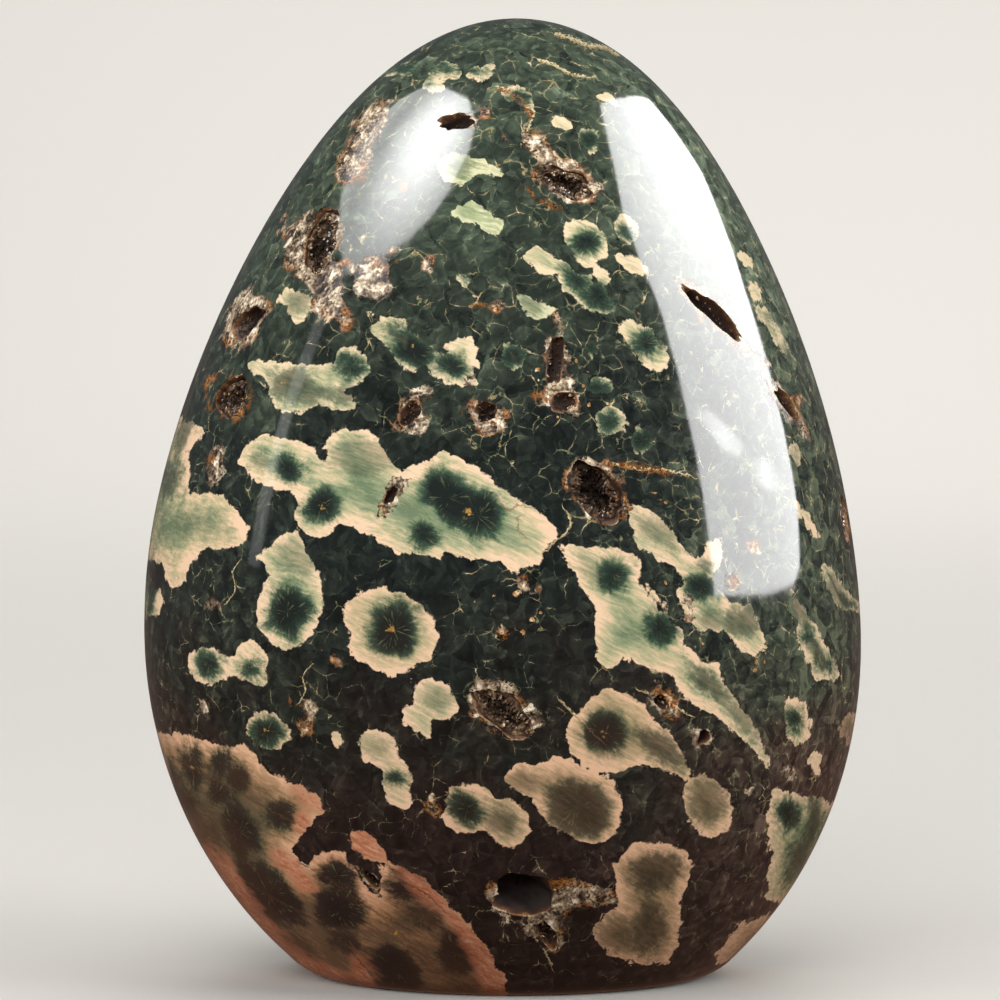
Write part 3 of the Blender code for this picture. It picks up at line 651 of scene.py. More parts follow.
def openAtLimb(outline):
    corners = np.array(outline, float)
    height = np.clip(target[2] + (view["centre"][1] - corners[:, 1]) / view["pixelsPerMm"], 0.1, 127.2)
    for side in (-1, 1):
        limb = viewPixels(stonePoint(np.full(len(corners), side * np.pi / 2), height, sectionShare(height)))
        corners[side * (corners[:, 0] - limb[:, 0]) > -limbEdge["near"], 0] += side * limbEdge["outward"]
    corners[corners[:, 1] > limbEdge["footFrom"], 1] += limbEdge["outward"]
    return corners


def outlineGap(pixels, outline):
    # signed gap in pixels, negative inside: the shortest way to any side, and a count of the sides crossed
    start = roundOutline(outline)
    side = np.roll(start, -1, axis=0) - start
    gaps = np.full(len(pixels), 60.0)
    near = np.all((pixels > start.min(axis=0) - 40) & (pixels < start.max(axis=0) + 40), axis=1)
    here = pixels[near][:, None, :] - start[None]
    share = np.clip((here * side).sum(axis=2) / np.maximum((side ** 2).sum(axis=1), 1e-9), 0, 1)
    gap = np.linalg.norm(here - share[..., None] * side, axis=2).min(axis=1)
    rises = (here[..., 1] < 0) != (here[..., 1] - side[:, 1] < 0)
    crossing = here[..., 0] < side[:, 0] * here[..., 1] / np.where(side[:, 1] == 0, 1e-9, side[:, 1])
    gaps[near] = np.where((rises & crossing).sum(axis=1) % 2 == 1, -gap, gap)
    return gaps


# The markings of the sides and back, which the photograph doesn't show: the same kinds, strewn by a seeded
# draw. Each is a chain of balls along the flow of the stone, some with a dark core and a star.

hiddenMarks = {"seed": 21, "draws": 1500, "spacing": 10.0, "firstAzimuth": 99, "radius": (1.4, 4.4),
               "coreShare": 0.55, "starShare": 0.35, "flowCentre": (-85.0, -120.0)}

# The longest marks of the front are taken to run right through the stone: the back shows them again, a
# little larger and moved, since the layers aren't level with the line of sight
throughMarks = {"names": ["centralBand", "longRightBlotch", "secondRightBlotch", "dogBone", "wavyPair",
                          "lowerOrb", "lowerMiddle", "starOrb", "footPatch", "bowTie", "doublePale",
                          "starSmall", "longTop", "rightLowerBlotch", "blobBelow", "footDouble"],
                "veins": ["bandVein", "bandNet", "bandNetUp", "joinVein", "salmonVein"],
                "scale": 1.12, "shift": (38, -46), "limbAzimuth": 88, "limbRound": 6.0}


def flowAlong(points):
    # the stone's layers run in wide arcs about a line far to the lower left: distance along the arc,
    # distance across it, and depth
    offset = points[:, [0, 2]] - np.array(hiddenMarks["flowCentre"])
    return np.stack((200 * np.arctan2(offset[:, 0], offset[:, 1]), np.hypot(offset[:, 0], offset[:, 1]),
                     points[:, 1]), axis=1)


def strewMarks():
    # draws places over the hidden surface, keeps those far enough apart, and walks each one along the flow
    rng = np.random.default_rng(hiddenMarks["seed"])
    chains, middles = [], []
    flowX, flowZ = hiddenMarks["flowCentre"]
    for _ in range(hiddenMarks["draws"]):
        azimuth = np.radians(rng.uniform(hiddenMarks["firstAzimuth"], 360 - hiddenMarks["firstAzimuth"]))
        height = rng.uniform(0, 125)
        size, count, tone = rng.beta(1.6, 2.2), rng.integers(1, 6), rng.uniform(-0.5, 0.2)
        spot = stonePoint(azimuth, np.array(height), sectionShare(np.array(height)))
        if rng.uniform() > sectionShare(np.array(height)):
            continue
        radius = np.interp(size, (0, 1), hiddenMarks["radius"])
        reach = hiddenMarks["spacing"] + radius * (0.5 + 0.32 * count)
        if middles and np.min(np.linalg.norm(np.array(middles) - spot, axis=1)) < reach:
            continue
        heading = np.cross((0, 1.0, 0), spot - np.array((flowX, 0, flowZ)))
        heading = heading / np.linalg.norm(heading) + rng.normal(size=3) * 0.25
        balls = []
        for link in range(count):
            place = spot + heading * radius * 1.15 * (link - (count - 1) / 2)
            place = place + rng.normal(size=3) * radius * 0.3
            around, _ = stoneAzimuth(place[None])
            level = np.clip(place[2], 0.5, 126.5)
            place = stonePoint(around[0], level, sectionShare(level))
            balls.append((*place, radius * rng.uniform(0.7, 1.15), rng.uniform(), rng.uniform()))
        middles.append(spot)
        # a low chain is pushed toward pink: partly the stone's own colour, partly painted warm bounce light from
        # below
        chains.append((tone + 0.5 * np.clip(1 - height / 40, 0, 1), np.array(balls)))
    return chains


def seenPixels(points, azimuth, share):
    # pixels of the points that face the front; those past the limb take its pixels, and how far past it they
    # lie in mm is the second result: sqrt(past^2 + round^2) - round, so that marks end round there
    limb = np.radians(throughMarks["limbAzimuth"])
    past = (np.abs(azimuth) - limb).clip(0) * 45 * share
    past = np.hypot(past, throughMarks["limbRound"]) - throughMarks["limbRound"]
    under = np.where(points[:, 2] < 0.4, (stone["baseShare"] - share).clip(0) * 30, 0)
    return viewPixels(stonePoint(np.clip(azimuth, -limb, limb), points[:, 2], share)), past + under


def markFields(points):
    # what the jasper shows at each vertex, all in mm: gap to the nearest mark, how deep in a core it lies and
    # how strong that core is, the way from the nearest core, gap to a star, tone, and gap to quartz and rust
    azimuth, share = stoneAzimuth(points)
    frontPixels, frontBeyond = seenPixels(points, azimuth, share)
    backPixels, backBeyond = seenPixels(points, np.sign(azimuth) * np.pi - azimuth, share)
    middle = np.array(view["centre"])
    backPixels = (backPixels - middle - throughMarks["shift"]) / throughMarks["scale"] + middle
    scale = view["pixelsPerMm"]
    count = len(points)
    gap, tone = np.full(count, 9.0), np.zeros(count)
    core, strength = np.full(count, -4.0), np.ones(count)
    away, star = np.tile((0.0, 0.0, 9.0), (count, 1)), np.full(count, 9.0)
    quartz = np.full(count, 9.0)
    views = [(mark, frontPixels, frontBeyond) for mark in marks.values()]
    views += [(marks[name], backPixels, backBeyond) for name in throughMarks["names"]]
    for mark, pixels, beyond in views:
        here = outlineGap(pixels, openAtLimb(mark["outline"])) / scale + beyond
        tone = np.where(here < gap, mark["tone"], tone)
        gap = np.minimum(gap, here)
        if "rim" in mark:
            deep = 1.7 * (-here - mark["rim"]) - 0.5
            nearer = deep > core
            core, strength = np.where(nearer, deep, core), np.where(nearer, 0.9, strength)
        for centre in mark.get("cores", []):
            x, y, wide, high, turn, dark = (*centre, *(0, 1.0)[len(centre) - 4:])
            turn = np.radians(turn)
            along = (pixels[:, 0] - x) * np.cos(turn) + (pixels[:, 1] - y) * np.sin(turn)
            across = (pixels[:, 1] - y) * np.cos(turn) - (pixels[:, 0] - x) * np.sin(turn)
            deep = (1 - np.hypot(along / wide, across / high)) * min(wide, high) / scale - beyond
            nearer = deep > core
            core, strength = np.where(nearer, deep, core), np.where(nearer, dark, strength)
            offset = np.stack((pixels[:, 0] - x, 0 * beyond, y - pixels[:, 1]), axis=1) / scale
            away = np.where(nearer[:, None], offset, away)
        for x, y, radius in mark.get("stars", []):
            star = np.minimum(star, np.hypot(pixels[:, 0] - x, pixels[:, 1] - y) / radius + beyond)
    for chainToneWithWarmBounce, balls in strewMarks():
        near = np.linalg.norm(points - balls[:, :3].mean(axis=0), axis=1) < 45
        for x, y, z, radius, coreDraw, starDraw in balls:
            offset = points[near] - (x, y, z)
            distance = np.linalg.norm(offset, axis=1)
            blend = np.clip(0.5 + 0.5 * (gap[near] - distance + radius) / 1.5, 0, 1)
            tone[near] = np.where(distance - radius < gap[near], chainToneWithWarmBounce, tone[near])
            gap[near] = gap[near] * (1 - blend) + (distance - radius) * blend - 1.5 * blend * (1 - blend)
            if coreDraw < hiddenMarks["coreShare"] and radius > 2.2:
                coreRadius = radius * (0.35 + coreDraw * 0.5)
                deep = coreRadius - distance
                nearer = deep > core[near]
                core[near] = np.where(nearer, deep, core[near])
                strength[near] = np.where(nearer, 0.5 + coreDraw, strength[near])
                away[near] = np.where(nearer[:, None], offset, away[near])
                if starDraw < hiddenMarks["starShare"]:
                    star[near] = np.minimum(star[near], distance / 0.6)
    pixels, beyond = frontPixels, frontBeyond
    for outline in quartzZones.values():
        quartz = np.minimum(quartz, outlineGap(pixels, outline) / scale + beyond)
    for x, y, radius in quartzSpots:
        quartz = np.minimum(quartz, (np.hypot(pixels[:, 0] - x, pixels[:, 1] - y) - radius) / scale + beyond)
    for name in vugs:
        middle, axes = vugFrame(name)
        halves = vugHalves(name)
        local = (points - middle) @ axes.T
        ratio = np.hypot(local[:, 0] / halves[0], local[:, 1] / halves[1])
        halo = (ratio - 1) * min(halves[:2]) + 0.12 * np.abs(local[:, 2]) - 0.3
        quartz = np.where(np.abs(local[:, 2]) < 9, np.minimum(quartz, halo), quartz)
    rust = np.full(count, 9.0)
    for path in rustBands.values():
        rust = np.minimum(rust, pathGap(pixels, path)[0] / scale - 0.3 + beyond)
    for x, y, radius in rustSpots:
        rust = np.minimum(rust, (np.hypot(pixels[:, 0] - x, pixels[:, 1] - y) - radius) / scale + beyond)
    vein, veinSide, speck = np.full(count, 9.0), np.full(count, 9.0), np.full(count, 9.0)
    views = [(name, frontPixels, frontBeyond) for name in veins]
    views += [(name, backPixels, backBeyond) for name in throughMarks["veins"]]
    for name, here, past in views:
        wide, side = pathGap(here, veins[name])
        wide = wide / scale / veinWidths.get(name, 1.0) + past
        vein, veinSide = np.where(wide < vein, wide, vein), np.where(wide < vein, wide * side, veinSide)
    for outline in speckZones.values():
        speck = np.minimum(speck, outlineGap(pixels, outline) / scale + beyond)
    # smooth noises, cheap to carry on the mesh
    soft = np.stack([0.5 + 0.32 * waveNoise(points * 0.66, seed) for seed in (31, 32, 33)], axis=1)
    broad = np.stack([0.5 + 0.32 * waveNoise(points * size, seed)
                      for size, seed in ((0.2, 34), (0.8, 35), (0.85, 36))], axis=1)
    salmon = np.full(count, 9.0)
    for outline in salmonZones.values():
        salmon = np.minimum(salmon, outlineGap(pixels, outline) / scale + beyond)
    return dict(markGap=gap, markTone=tone, salmonGap=salmon, rustGap=rust, coreDepth=core,
                coreStrength=strength, coreAway=away, starGap=star, quartzGap=quartz, veinGap=vein,
                veinSide=veinSide, speckGap=speck, flowLine=flowAlong(points), softNoise=soft,
                broadNoise=broad)


def depthBelowPolish(points):
    # first-order distance under the egg: how far the share falls short, over how fast it changes
    _, share = stoneAzimuth(points)
    height = np.clip(points[:, 2], 0.2, 127.0)
    wall = sectionShare(height)
    slope = (sectionShare(height + 0.1) - sectionShare(height - 0.1)) / 0.2
    depth = (wall - share) / np.hypot(slope, 1 / 44)
    depth = np.where((points[:, 2] < 0.02) | (points[:, 2] > 125), 0, depth)
    onEdge = (points[:, 2] < stone["edgeHeight"] + 0.1) & (share > 0.5)
    return np.where(onEdge, 0, depth).clip(0, 9)


# Materials

# Ocean jasper is a chalcedony: ground and polished it is hard and glassy, with a sharp reflection, and its
# marks are stain and fibre inside the stone rather than anything raised.
jasper = {"roughness": 0.07, "ior": 1.54, "wallRoughness": 0.55, "edgeWander": 0.95, "scallop": 0.9,
          "scallopSize": 1.55, "serration": 0.8, "chipSize": 3.8, "veinCell": 2.4}


def polishedJasper():
    material, tree, shader = newMaterial("polishedOceanJasper")
    add = partial(addNode, tree)
    position = add("VectorMath", {0: add("TexCoord").outputs["Object"], "Scale": 1000.0}, operation="SCALE")
    (markGap, markTone, coreDepth, coreStrength, starGap, quartzGap, rustGap, salmonGap, veinGap, veinSide,
     speckGap, wallDepth, height) = (
        add("Attribute", attribute_name=name).outputs["Fac"] for name in
        ("markGap", "markTone", "coreDepth", "coreStrength", "starGap", "quartzGap", "rustGap", "salmonGap",
         "veinGap", "veinSide", "speckGap", "wallDepth", "height"))
    coreAway, flowLine, softNoise, broadNoise = (
        add("Attribute", attribute_name=name).outputs["Vector"] for name in
        ("coreAway", "flowLine", "softNoise", "broadNoise"))
    wander = add("SeparateXYZ", {0: softNoise})
    patches = add("SeparateXYZ", {0: broadNoise})
    veinNoise, rustNoise = patches.outputs["Y"], patches.outputs["Z"]

    # noises, all in mm: scallops, fine teeth, layers drawn out along the flow, rays round a core
    teeth = add("TexNoise", {"Vector": position, "Scale": 2.5, "Detail": 3.0, "Roughness": 0.62})
    warp = add("VectorMath", {0: softNoise, 1: (2.4, 2.4, 2.4), 2: position}, operation="MULTIPLY_ADD")
    bend = add("VectorMath", {0: (0.5, -0.45, 0.4), "Scale": teeth}, operation="SCALE")
    warp = add("VectorMath", {0: warp, 1: bend}, operation="ADD")
    scallop = add("TexVoronoi", {"Vector": warp, "Scale": 1 / jasper["scallopSize"]})
    drawn = add("VectorMath", {0: softNoise, 1: (0.0, 0.9, 0.9), 2: flowLine}, operation="MULTIPLY_ADD")
    drawn = add("VectorMath", {0: drawn, 1: (0.13, 1.0, 0.35)}, operation="MULTIPLY")
    layers = add("TexNoise", {"Vector": drawn, "Scale": 1.7, "Detail": 3.0, "Roughness": 0.78})
    rayPlace = add("VectorMath", {0: position, "Scale": 0.5}, operation="SCALE")
    rayWay = add("VectorMath", {0: coreAway}, operation="NORMALIZE")
    rayPlace = add("VectorMath", {0: rayWay, 1: (5.0, 5.0, 5.0), 2: rayPlace}, operation="MULTIPLY_ADD")
    rays = add("TexNoise", {"Vector": rayPlace, "Scale": 1.0, "Detail": 2.0, "Roughness": 0.65})

    # edge of a mark: the gap read off the mesh, moved by wander, scallops and teeth
    edge = markGap
    for noise, amount in ((wander, jasper["edgeWander"]), (scallop, jasper["scallop"]),
                          (teeth, jasper["serration"])):
        edge = add("Math", {0: noise, 1: amount, 2: edge}, operation="MULTIPLY_ADD")
    middleValue = jasper["edgeWander"] * 0.5 + jasper["scallop"] * 0.5 + jasper["serration"] * 0.5
    edge = add("Math", {0: edge, 1: middleValue}, operation="SUBTRACT")
    inMark = add("MapRange", {"Value": edge, "From Min": 0.06, "From Max": -0.1})

    # inside a mark: a cream rim, wider on some sides, then layers of sage; the lower ones are pink to tan,
    # partly their own colour and partly painted warm bounce light from below
    depth = add("MapRange", {"Value": edge, "From Min": 0.0, "From Max": -5.0})
    for noise, amount in ((layers, 1.5), (wander, 0.6), (teeth, 0.4)):
        depth = add("Math", {0: noise, 1: amount, 2: depth}, operation="MULTIPLY_ADD")
    depth = add("Math", {0: depth, 1: 1.22}, operation="SUBTRACT")
    creamRamp = add("ValToRGB", {0: depth}, stops=[
        (0.0, "#f0cfac"), (0.14, "#dfc6a0"), (0.36, "#bfb78f"), (0.62, "#98a07b"), (1.0, "#6e8061")])
    pinkAndWarmBounceRamp = add("ValToRGB", {0: depth}, stops=[
        (0.0, "#e6b48e"), (0.18, "#cf9f7b"), (0.42, "#b98a64"), (0.72, "#957050"), (1.0, "#6f5640")])
    sageRamp = add("ValToRGB", {0: depth}, stops=[
        (0.0, "#cbcfa6"), (0.16, "#a9b288"), (0.5, "#7b8c68"), (1.0, "#546a50")])
    pinkAndWarmBounceShare = add("MapRange", {"Value": markTone, "From Min": 0.0, "From Max": 1.0})
    sageShare = add("MapRange", {"Value": markTone, "From Min": 0.0, "From Max": -1.0})
    markColour = add("Mix", {0: pinkAndWarmBounceShare, 1: creamRamp, 2: pinkAndWarmBounceRamp}, data_type="RGBA")
    markColour = add("Mix", {0: sageShare, 1: markColour, 2: sageRamp}, data_type="RGBA")

    # core: green, darkening inward, its edge frayed in rays; a golden star where a crystal sat
    core = coreDepth
    for noise, amount in ((rays, 1.3), (wander, 2.2), (scallop, -0.7), (teeth, 0.9), (layers, 1.2)):
        core = add("Math", {0: noise, 1: amount, 2: core}, operation="MULTIPLY_ADD")
    core = add("Math", {0: core, 1: 2.3}, operation="SUBTRACT")
    coreShare = add("MapRange", {"Value": core, "From Min": -1.2, "From Max": 0.35},
                    interpolation_type="SMOOTHSTEP")
    coreShare = add("Math", {0: coreShare, 1: coreStrength}, operation="MULTIPLY", use_clamp=True)
    corePlace = add("MapRange", {"Value": core, "From Min": -1.1, "From Max": 1.6})
    coreRamp = add("ValToRGB", {0: corePlace}, stops=[
        (0.0, "#84946d"), (0.3, "#587052"), (0.52, "#374a3b"), (0.75, "#252f28"), (1.0, "#1d2420")])
    coreBrown = add("ValToRGB", {0: corePlace}, stops=[
        (0.0, "#75614a"), (0.3, "#4d4032"), (0.5, "#352b25"), (1.0, "#271f1c")])
    coreRamp = add("Mix", {0: pinkAndWarmBounceShare, 1: coreRamp, 2: coreBrown}, data_type="RGBA")
    markColour = add("Mix", {0: coreShare, 1: markColour, 2: coreRamp}, data_type="RGBA")
    hairs = add("MapRange", {"Value": rays, "From Min": 0.6, "From Max": 0.7, "To Max": 0.35})
    hairs = add("Math", {0: hairs, 1: coreShare}, operation="MULTIPLY")
    markColour = add("Mix", {0: hairs, 1: markColour, 2: "#8f946c"}, data_type="RGBA")
    starEdge = add("Math", {0: teeth, 1: 2.4, 2: starGap}, operation="MULTIPLY_ADD")
    starShare = add("MapRange", {"Value": starEdge, "From Min": 2.15, "From Max": 1.8})
    starRamp = add("ValToRGB", {0: rays}, stops=[(0.35, "#6d5226"), (0.5, "#a98543"), (0.62, "#cf9a56")])
    markColour = add("Mix", {0: starShare, 1: markColour, 2: starRamp}, data_type="RGBA")

    # the low patches turn salmon, streaked and crystalline, where the photograph's do
    salmonEdge = add("Math", {0: wander, 1: 2.0, 2: salmonGap}, operation="MULTIPLY_ADD")
    salmonEdge = add("Math", {0: layers, 1: 3.0, 2: salmonEdge}, operation="MULTIPLY_ADD")
    salmonShare = add("MapRange", {"Value": salmonEdge, "From Min": 3.4, "From Max": 1.6, "To Max": 0.85},
                      interpolation_type="SMOOTHSTEP")
    salmonPlace = add("Math", {0: teeth, 1: 0.4, 2: layers}, operation="MULTIPLY_ADD")
    salmonRamp = add("ValToRGB", {0: salmonPlace}, stops=[
        (0.48, "#8c4f37"), (0.64, "#b87152"), (0.76, "#cf8b69"), (0.92, "#e8b799")])
    murkShare = add("MapRange", {"Value": patches, "From Min": 0.35, "From Max": 0.75, "To Max": 0.55})
    murkShare = add("Math", {0: murkShare, 1: pinkAndWarmBounceShare}, operation="MULTIPLY")
    farInside = add("MapRange", {"Value": markGap, "From Min": -0.5, "From Max": -3.0})
    murkShare = add("Math", {0: murkShare, 1: farInside}, operation="MULTIPLY")
    markColour = add("Mix", {0: murkShare, 1: markColour, 2: "#4d3729"}, data_type="RGBA")
    markColour = add("Mix", {0: salmonShare, 1: markColour, 2: salmonRamp}, data_type="RGBA")

    # the dark ground: chips of green-black chalcedony, each shaded its own way, with broken veins between
    cloud = add("TexNoise", {"Vector": warp, "Scale": 0.6, "Detail": 2.0, "Roughness": 0.75})
    groundPlace = add("Math", {0: cloud, 1: 0.8}, operation="MULTIPLY")
    largeChips = add("TexVoronoi", {"Vector": warp, "Scale": 1 / jasper["chipSize"]})
    for chips, lean in ((largeChips, 0.14), (scallop, 0.26)):
        across = add("VectorMath", {0: warp, 1: chips.outputs["Position"]}, operation="SUBTRACT")
        facing = add("VectorMath", {0: chips.outputs["Color"], 1: (0.5, 0.5, 0.5)}, operation="SUBTRACT")
        facet = add("VectorMath", {0: across, 1: facing}, operation="DOT_PRODUCT")
        groundPlace = add("Math", {0: facet.outputs["Value"], 1: lean, 2: groundPlace},
                          operation="MULTIPLY_ADD")
    chipTone = add("SeparateColor", {0: chips.outputs["Color"]})
    groundPlace = add("Math", {0: chipTone, 1: 0.08, 2: groundPlace}, operation="MULTIPLY_ADD")
    sideways = add("SeparateXYZ", {0: position})
    for start, end, lift in ((8.0, 38.0, 0.38), (-15.0, -42.0, 0.12)):
        paler = add("MapRange", {"Value": sideways, "From Min": start, "From Max": end, "To Max": lift})
        groundPlace = add("Math", {0: groundPlace, 1: paler}, operation="ADD")
    veinCells = add("TexVoronoi", {"Vector": warp, "Scale": 1 / jasper["veinCell"]},
                    feature="DISTANCE_TO_EDGE")
    skin = add("MapRange", {"Value": veinCells, "From Min": 0.14, "From Max": 0.0},
               interpolation_type="SMOOTHSTEP")
    groundPlace = add("Math", {0: skin, 1: 0.07, 2: groundPlace}, operation="MULTIPLY_ADD")
    groundMiddle = add("ValToRGB", {0: groundPlace}, stops=[
        (0.1, "#0f1310"), (0.4, "#1c211e"), (0.62, "#292f29"), (0.85, "#434b3e"), (1.0, "#606853")])
    groundTop = add("ValToRGB", {0: groundPlace}, stops=[
        (0.1, "#202722"), (0.4, "#363f34"), (0.62, "#4b5646"), (0.85, "#6c7963"), (1.0, "#98a286")])
    # toward the foot the ground turns brown: partly the stone's own tone, partly painted warm bounce light from
    # below
    groundFootWarmBounce = add("ValToRGB", {0: groundPlace}, stops=[
        (0.1, "#171210"), (0.4, "#251d1b"), (0.62, "#322723"), (0.85, "#4a3c35"), (1.0, "#67574b")])
    levelNoise = add("Math", {0: patches, 1: 40.0, 2: height}, operation="MULTIPLY_ADD")
    topShare = add("MapRange", {"Value": levelNoise, "From Min": 92.0, "From Max": 130.0})
    footWarmBounceShare = add("MapRange", {"Value": levelNoise, "From Min": 70.0, "From Max": 44.0})
    ground = add("Mix", {0: topShare, 1: groundMiddle, 2: groundTop}, data_type="RGBA")
    ground = add("Mix", {0: footWarmBounceShare, 1: ground, 2: groundFootWarmBounce}, data_type="RGBA")

    # veins run where the chips meet, thin and broken, and more of them near quartz and high on the right
    nearQuartz = add("MapRange", {"Value": quartzGap, "From Min": 5.0, "From Max": 0.0, "To Max": 0.12})
    veinNoise = add("Math", {0: veinNoise, 1: nearQuartz}, operation="ADD")
    veinNoise = add("Math", {0: teeth, 1: 0.4, 2: veinNoise}, operation="MULTIPLY_ADD")
    rightTop = add("Math", {0: sideways, 1: 1.3, 2: height}, operation="MULTIPLY_ADD")
    veinMore = add("MapRange", {"Value": rightTop, "From Min": 45.0, "From Max": 115.0, "To Max": 0.19})
    veinNoise = add("Math", {0: veinNoise, 1: veinMore}, operation="ADD")
    veinWidth = add("MapRange", {"Value": veinNoise, "From Min": 0.74, "From Max": 1.2, "To Max": 0.04})
    vein = add("Math", {0: veinCells, 1: veinWidth}, operation="LESS_THAN")
    readEdge = add("Math", {0: teeth, 1: 0.9, 2: veinSide}, operation="MULTIPLY_ADD")
    readEdge = add("Math", {0: readEdge, 1: 0.45}, operation="SUBTRACT")
    readEdge = add("Math", {0: readEdge}, operation="ABSOLUTE")
    readVein = add("MapRange", {"Value": readEdge, "From Min": 0.13, "From Max": 0.07, "To Max": 0.85})
    nearVein = add("MapRange", {"Value": veinGap, "From Min": 0.9, "From Max": 0.6})
    readVein = add("Math", {0: readVein, 1: nearVein}, operation="MULTIPLY")
    veinShare = add("MapRange", {"Value": cloud, "From Min": 0.42, "From Max": 0.62, "To Min": 0.1,
                                 "To Max": 0.8})
    veinAll = add("Math", {0: vein, 1: veinShare}, operation="MULTIPLY")
    veinRamp = add("ValToRGB", {0: cloud}, stops=[
        (0.36, "#57634a"), (0.48, "#76805e"), (0.56, "#a3a077"), (0.6, "#a8834c"), (0.66, "#d9cba4")])
    ground = add("Mix", {0: veinAll, 1: ground, 2: veinRamp}, data_type="RGBA")
    readRamp = add("ValToRGB", {0: teeth}, stops=[(0.35, "#8f7443"), (0.5, "#c3ae7e"), (0.62, "#e6d9b4")])
    ground = add("Mix", {0: readVein, 1: ground, 2: readRamp}, data_type="RGBA")

    # specks: angular cream and golden grains, most of them where the veins are thick
    speckTone = add("SeparateColor", {0: chips.outputs["Color"]}).outputs["Green"]
    speckSize = add("MapRange", {"Value": veinNoise, "From Min": 0.68, "From Max": 1.2, "To Max": 0.2})
    speckDense = add("MapRange", {"Value": speckGap, "From Min": 1.0, "From Max": -1.0, "To Max": 0.3})
    speckSize = add("Math", {0: speckSize, 1: speckDense}, operation="ADD")
    speckSize = add("Math", {0: speckTone, 1: speckSize}, operation="MULTIPLY")
    speckTeeth = add("Math", {0: teeth, 1: 0.6, 2: -0.22}, operation="MULTIPLY_ADD")
    speckEdge = add("Math", {0: chips, 1: speckTeeth}, operation="ADD")
    speck = add("Math", {0: speckEdge, 1: speckSize}, operation="LESS_THAN")
    speckRamp = add("ValToRGB", {0: teeth}, stops=[(0.42, "#9a6a3c"), (0.52, "#c9a877"), (0.62, "#eadfc9")])
    ground = add("Mix", {0: speck, 1: ground, 2: speckRamp}, data_type="RGBA")

    # quartz and rust: brown and mauve crystal with cream chips, ragged, and lined with rust here and there
    quartzEdge = quartzGap
    for noise, amount in ((wander, 3.0), (teeth, 2.4), (veinCells, 1.6)):
        quartzEdge = add("Math", {0: noise, 1: amount, 2: quartzEdge}, operation="MULTIPLY_ADD")
    quartzEdge = add("Math", {0: quartzEdge, 1: 2.9}, operation="SUBTRACT")
    inQuartz = add("MapRange", {"Value": quartzEdge, "From Min": 0.12, "From Max": -0.12})
    grain = add("Math", {0: chipTone, 1: 0.26, 2: cloud}, operation="MULTIPLY_ADD")
    grain = add("Math", {0: teeth, 1: 0.75, 2: grain}, operation="MULTIPLY_ADD")
    quartzRamp = add("ValToRGB", {0: add("Math", {0: grain, 1: 0.35}, operation="SUBTRACT")}, stops=[
        (0.4, "#1e1916"), (0.52, "#41362c"), (0.62, "#6d5d4b"), (0.72, "#a18c73"), (0.83, "#d9c8ab"),
        (0.94, "#f4ead6")])
    rustRamp = add("ValToRGB", {0: teeth}, stops=[
        (0.32, "#35200f"), (0.46, "#7d4c22"), (0.56, "#b97b3c"), (0.66, "#e3bd84")])
    rustLine = add("MapRange", {"Value": quartzEdge, "From Min": -0.5, "From Max": -0.1, "To Max": 0.9})
    rustGate = add("MapRange", {"Value": rustNoise, "From Min": 0.5, "From Max": 0.62})
    rustEdge = rustGap
    for noise, amount in ((teeth, 3.0), (wander, 1.2), (veinCells, 1.3)):
        rustEdge = add("Math", {0: noise, 1: amount, 2: rustEdge}, operation="MULTIPLY_ADD")
    inRust = add("MapRange", {"Value": rustEdge, "From Min": 2.3, "From Max": 2.0, "To Max": 0.9})
    rustLine = add("Math", {0: rustLine, 1: rustGate}, operation="MULTIPLY")
    quartzColour = add("Mix", {0: rustLine, 1: quartzRamp, 2: rustRamp}, data_type="RGBA")
    crackTone = add("Mix", {0: pinkAndWarmBounceShare, 1: "#7d6648", 2: "#4d3529"}, data_type="RGBA")
    crackShare = add("Math", {0: readVein, 1: 0.75}, operation="MULTIPLY")
    markColour = add("Mix", {0: crackShare, 1: markColour, 2: crackTone}, data_type="RGBA")
    surface = add("Mix", {0: inMark, 1: ground, 2: markColour}, data_type="RGBA")
    surface = add("Mix", {0: inQuartz, 1: surface, 2: quartzColour}, data_type="RGBA")
    surface = add("Mix", {0: inRust, 1: surface, 2: rustRamp}, data_type="RGBA")

    # walls of the open vugs: cream and orange at the lip, brown deeper in, partly iron stain and partly painted
    # shade that darkens with depth
    wallPlace = add("Math", {0: teeth, 1: 1.8, 2: wallDepth}, operation="MULTIPLY_ADD")
    wallPlace = add("MapRange", {"Value": wallPlace, "From Min": 0.8, "From Max": 3.0})
    wallColourAndShade = add("ValToRGB", {0: wallPlace}, stops=[
        (0.0, "#cfae88"), (0.12, "#94683f"), (0.3, "#553c2d"), (0.6, "#3a2c25"), (1.0, "#37302d")])
    inWall = add("MapRange", {"Value": wallDepth, "From Min": 0.08, "From Max": 0.16})
    surface = add("Mix", {0: inWall, 1: surface, 2: wallColourAndShade}, data_type="RGBA")

    rough = add("MapRange", {"Value": cloud, "From Min": 0.3, "From Max": 0.7,
                             "To Min": jasper["roughness"] - 0.02, "To Max": jasper["roughness"] + 0.02})
    rough = add("Math", {0: inQuartz, 1: 0.14, 2: rough}, operation="MULTIPLY_ADD")
    rough = add("Math", {0: inWall, 1: jasper["wallRoughness"], 2: rough}, operation="MULTIPLY_ADD",
                use_clamp=True)

    tree.links.new(surface.outputs[2], shader.inputs["Base Color"])
    tree.links.new(rough.outputs[0], shader.inputs["Roughness"])
    shader.inputs["IOR"].default_value = jasper["ior"]
    return material


# Druzy quartz: small clear points on a stained crust, the crust darkening deeper in the vug as painted shade.
# They glint, and their roots are brown with iron.
quartz = {"roughness": 0.16, "ior": 1.544, "grain": 0.7}


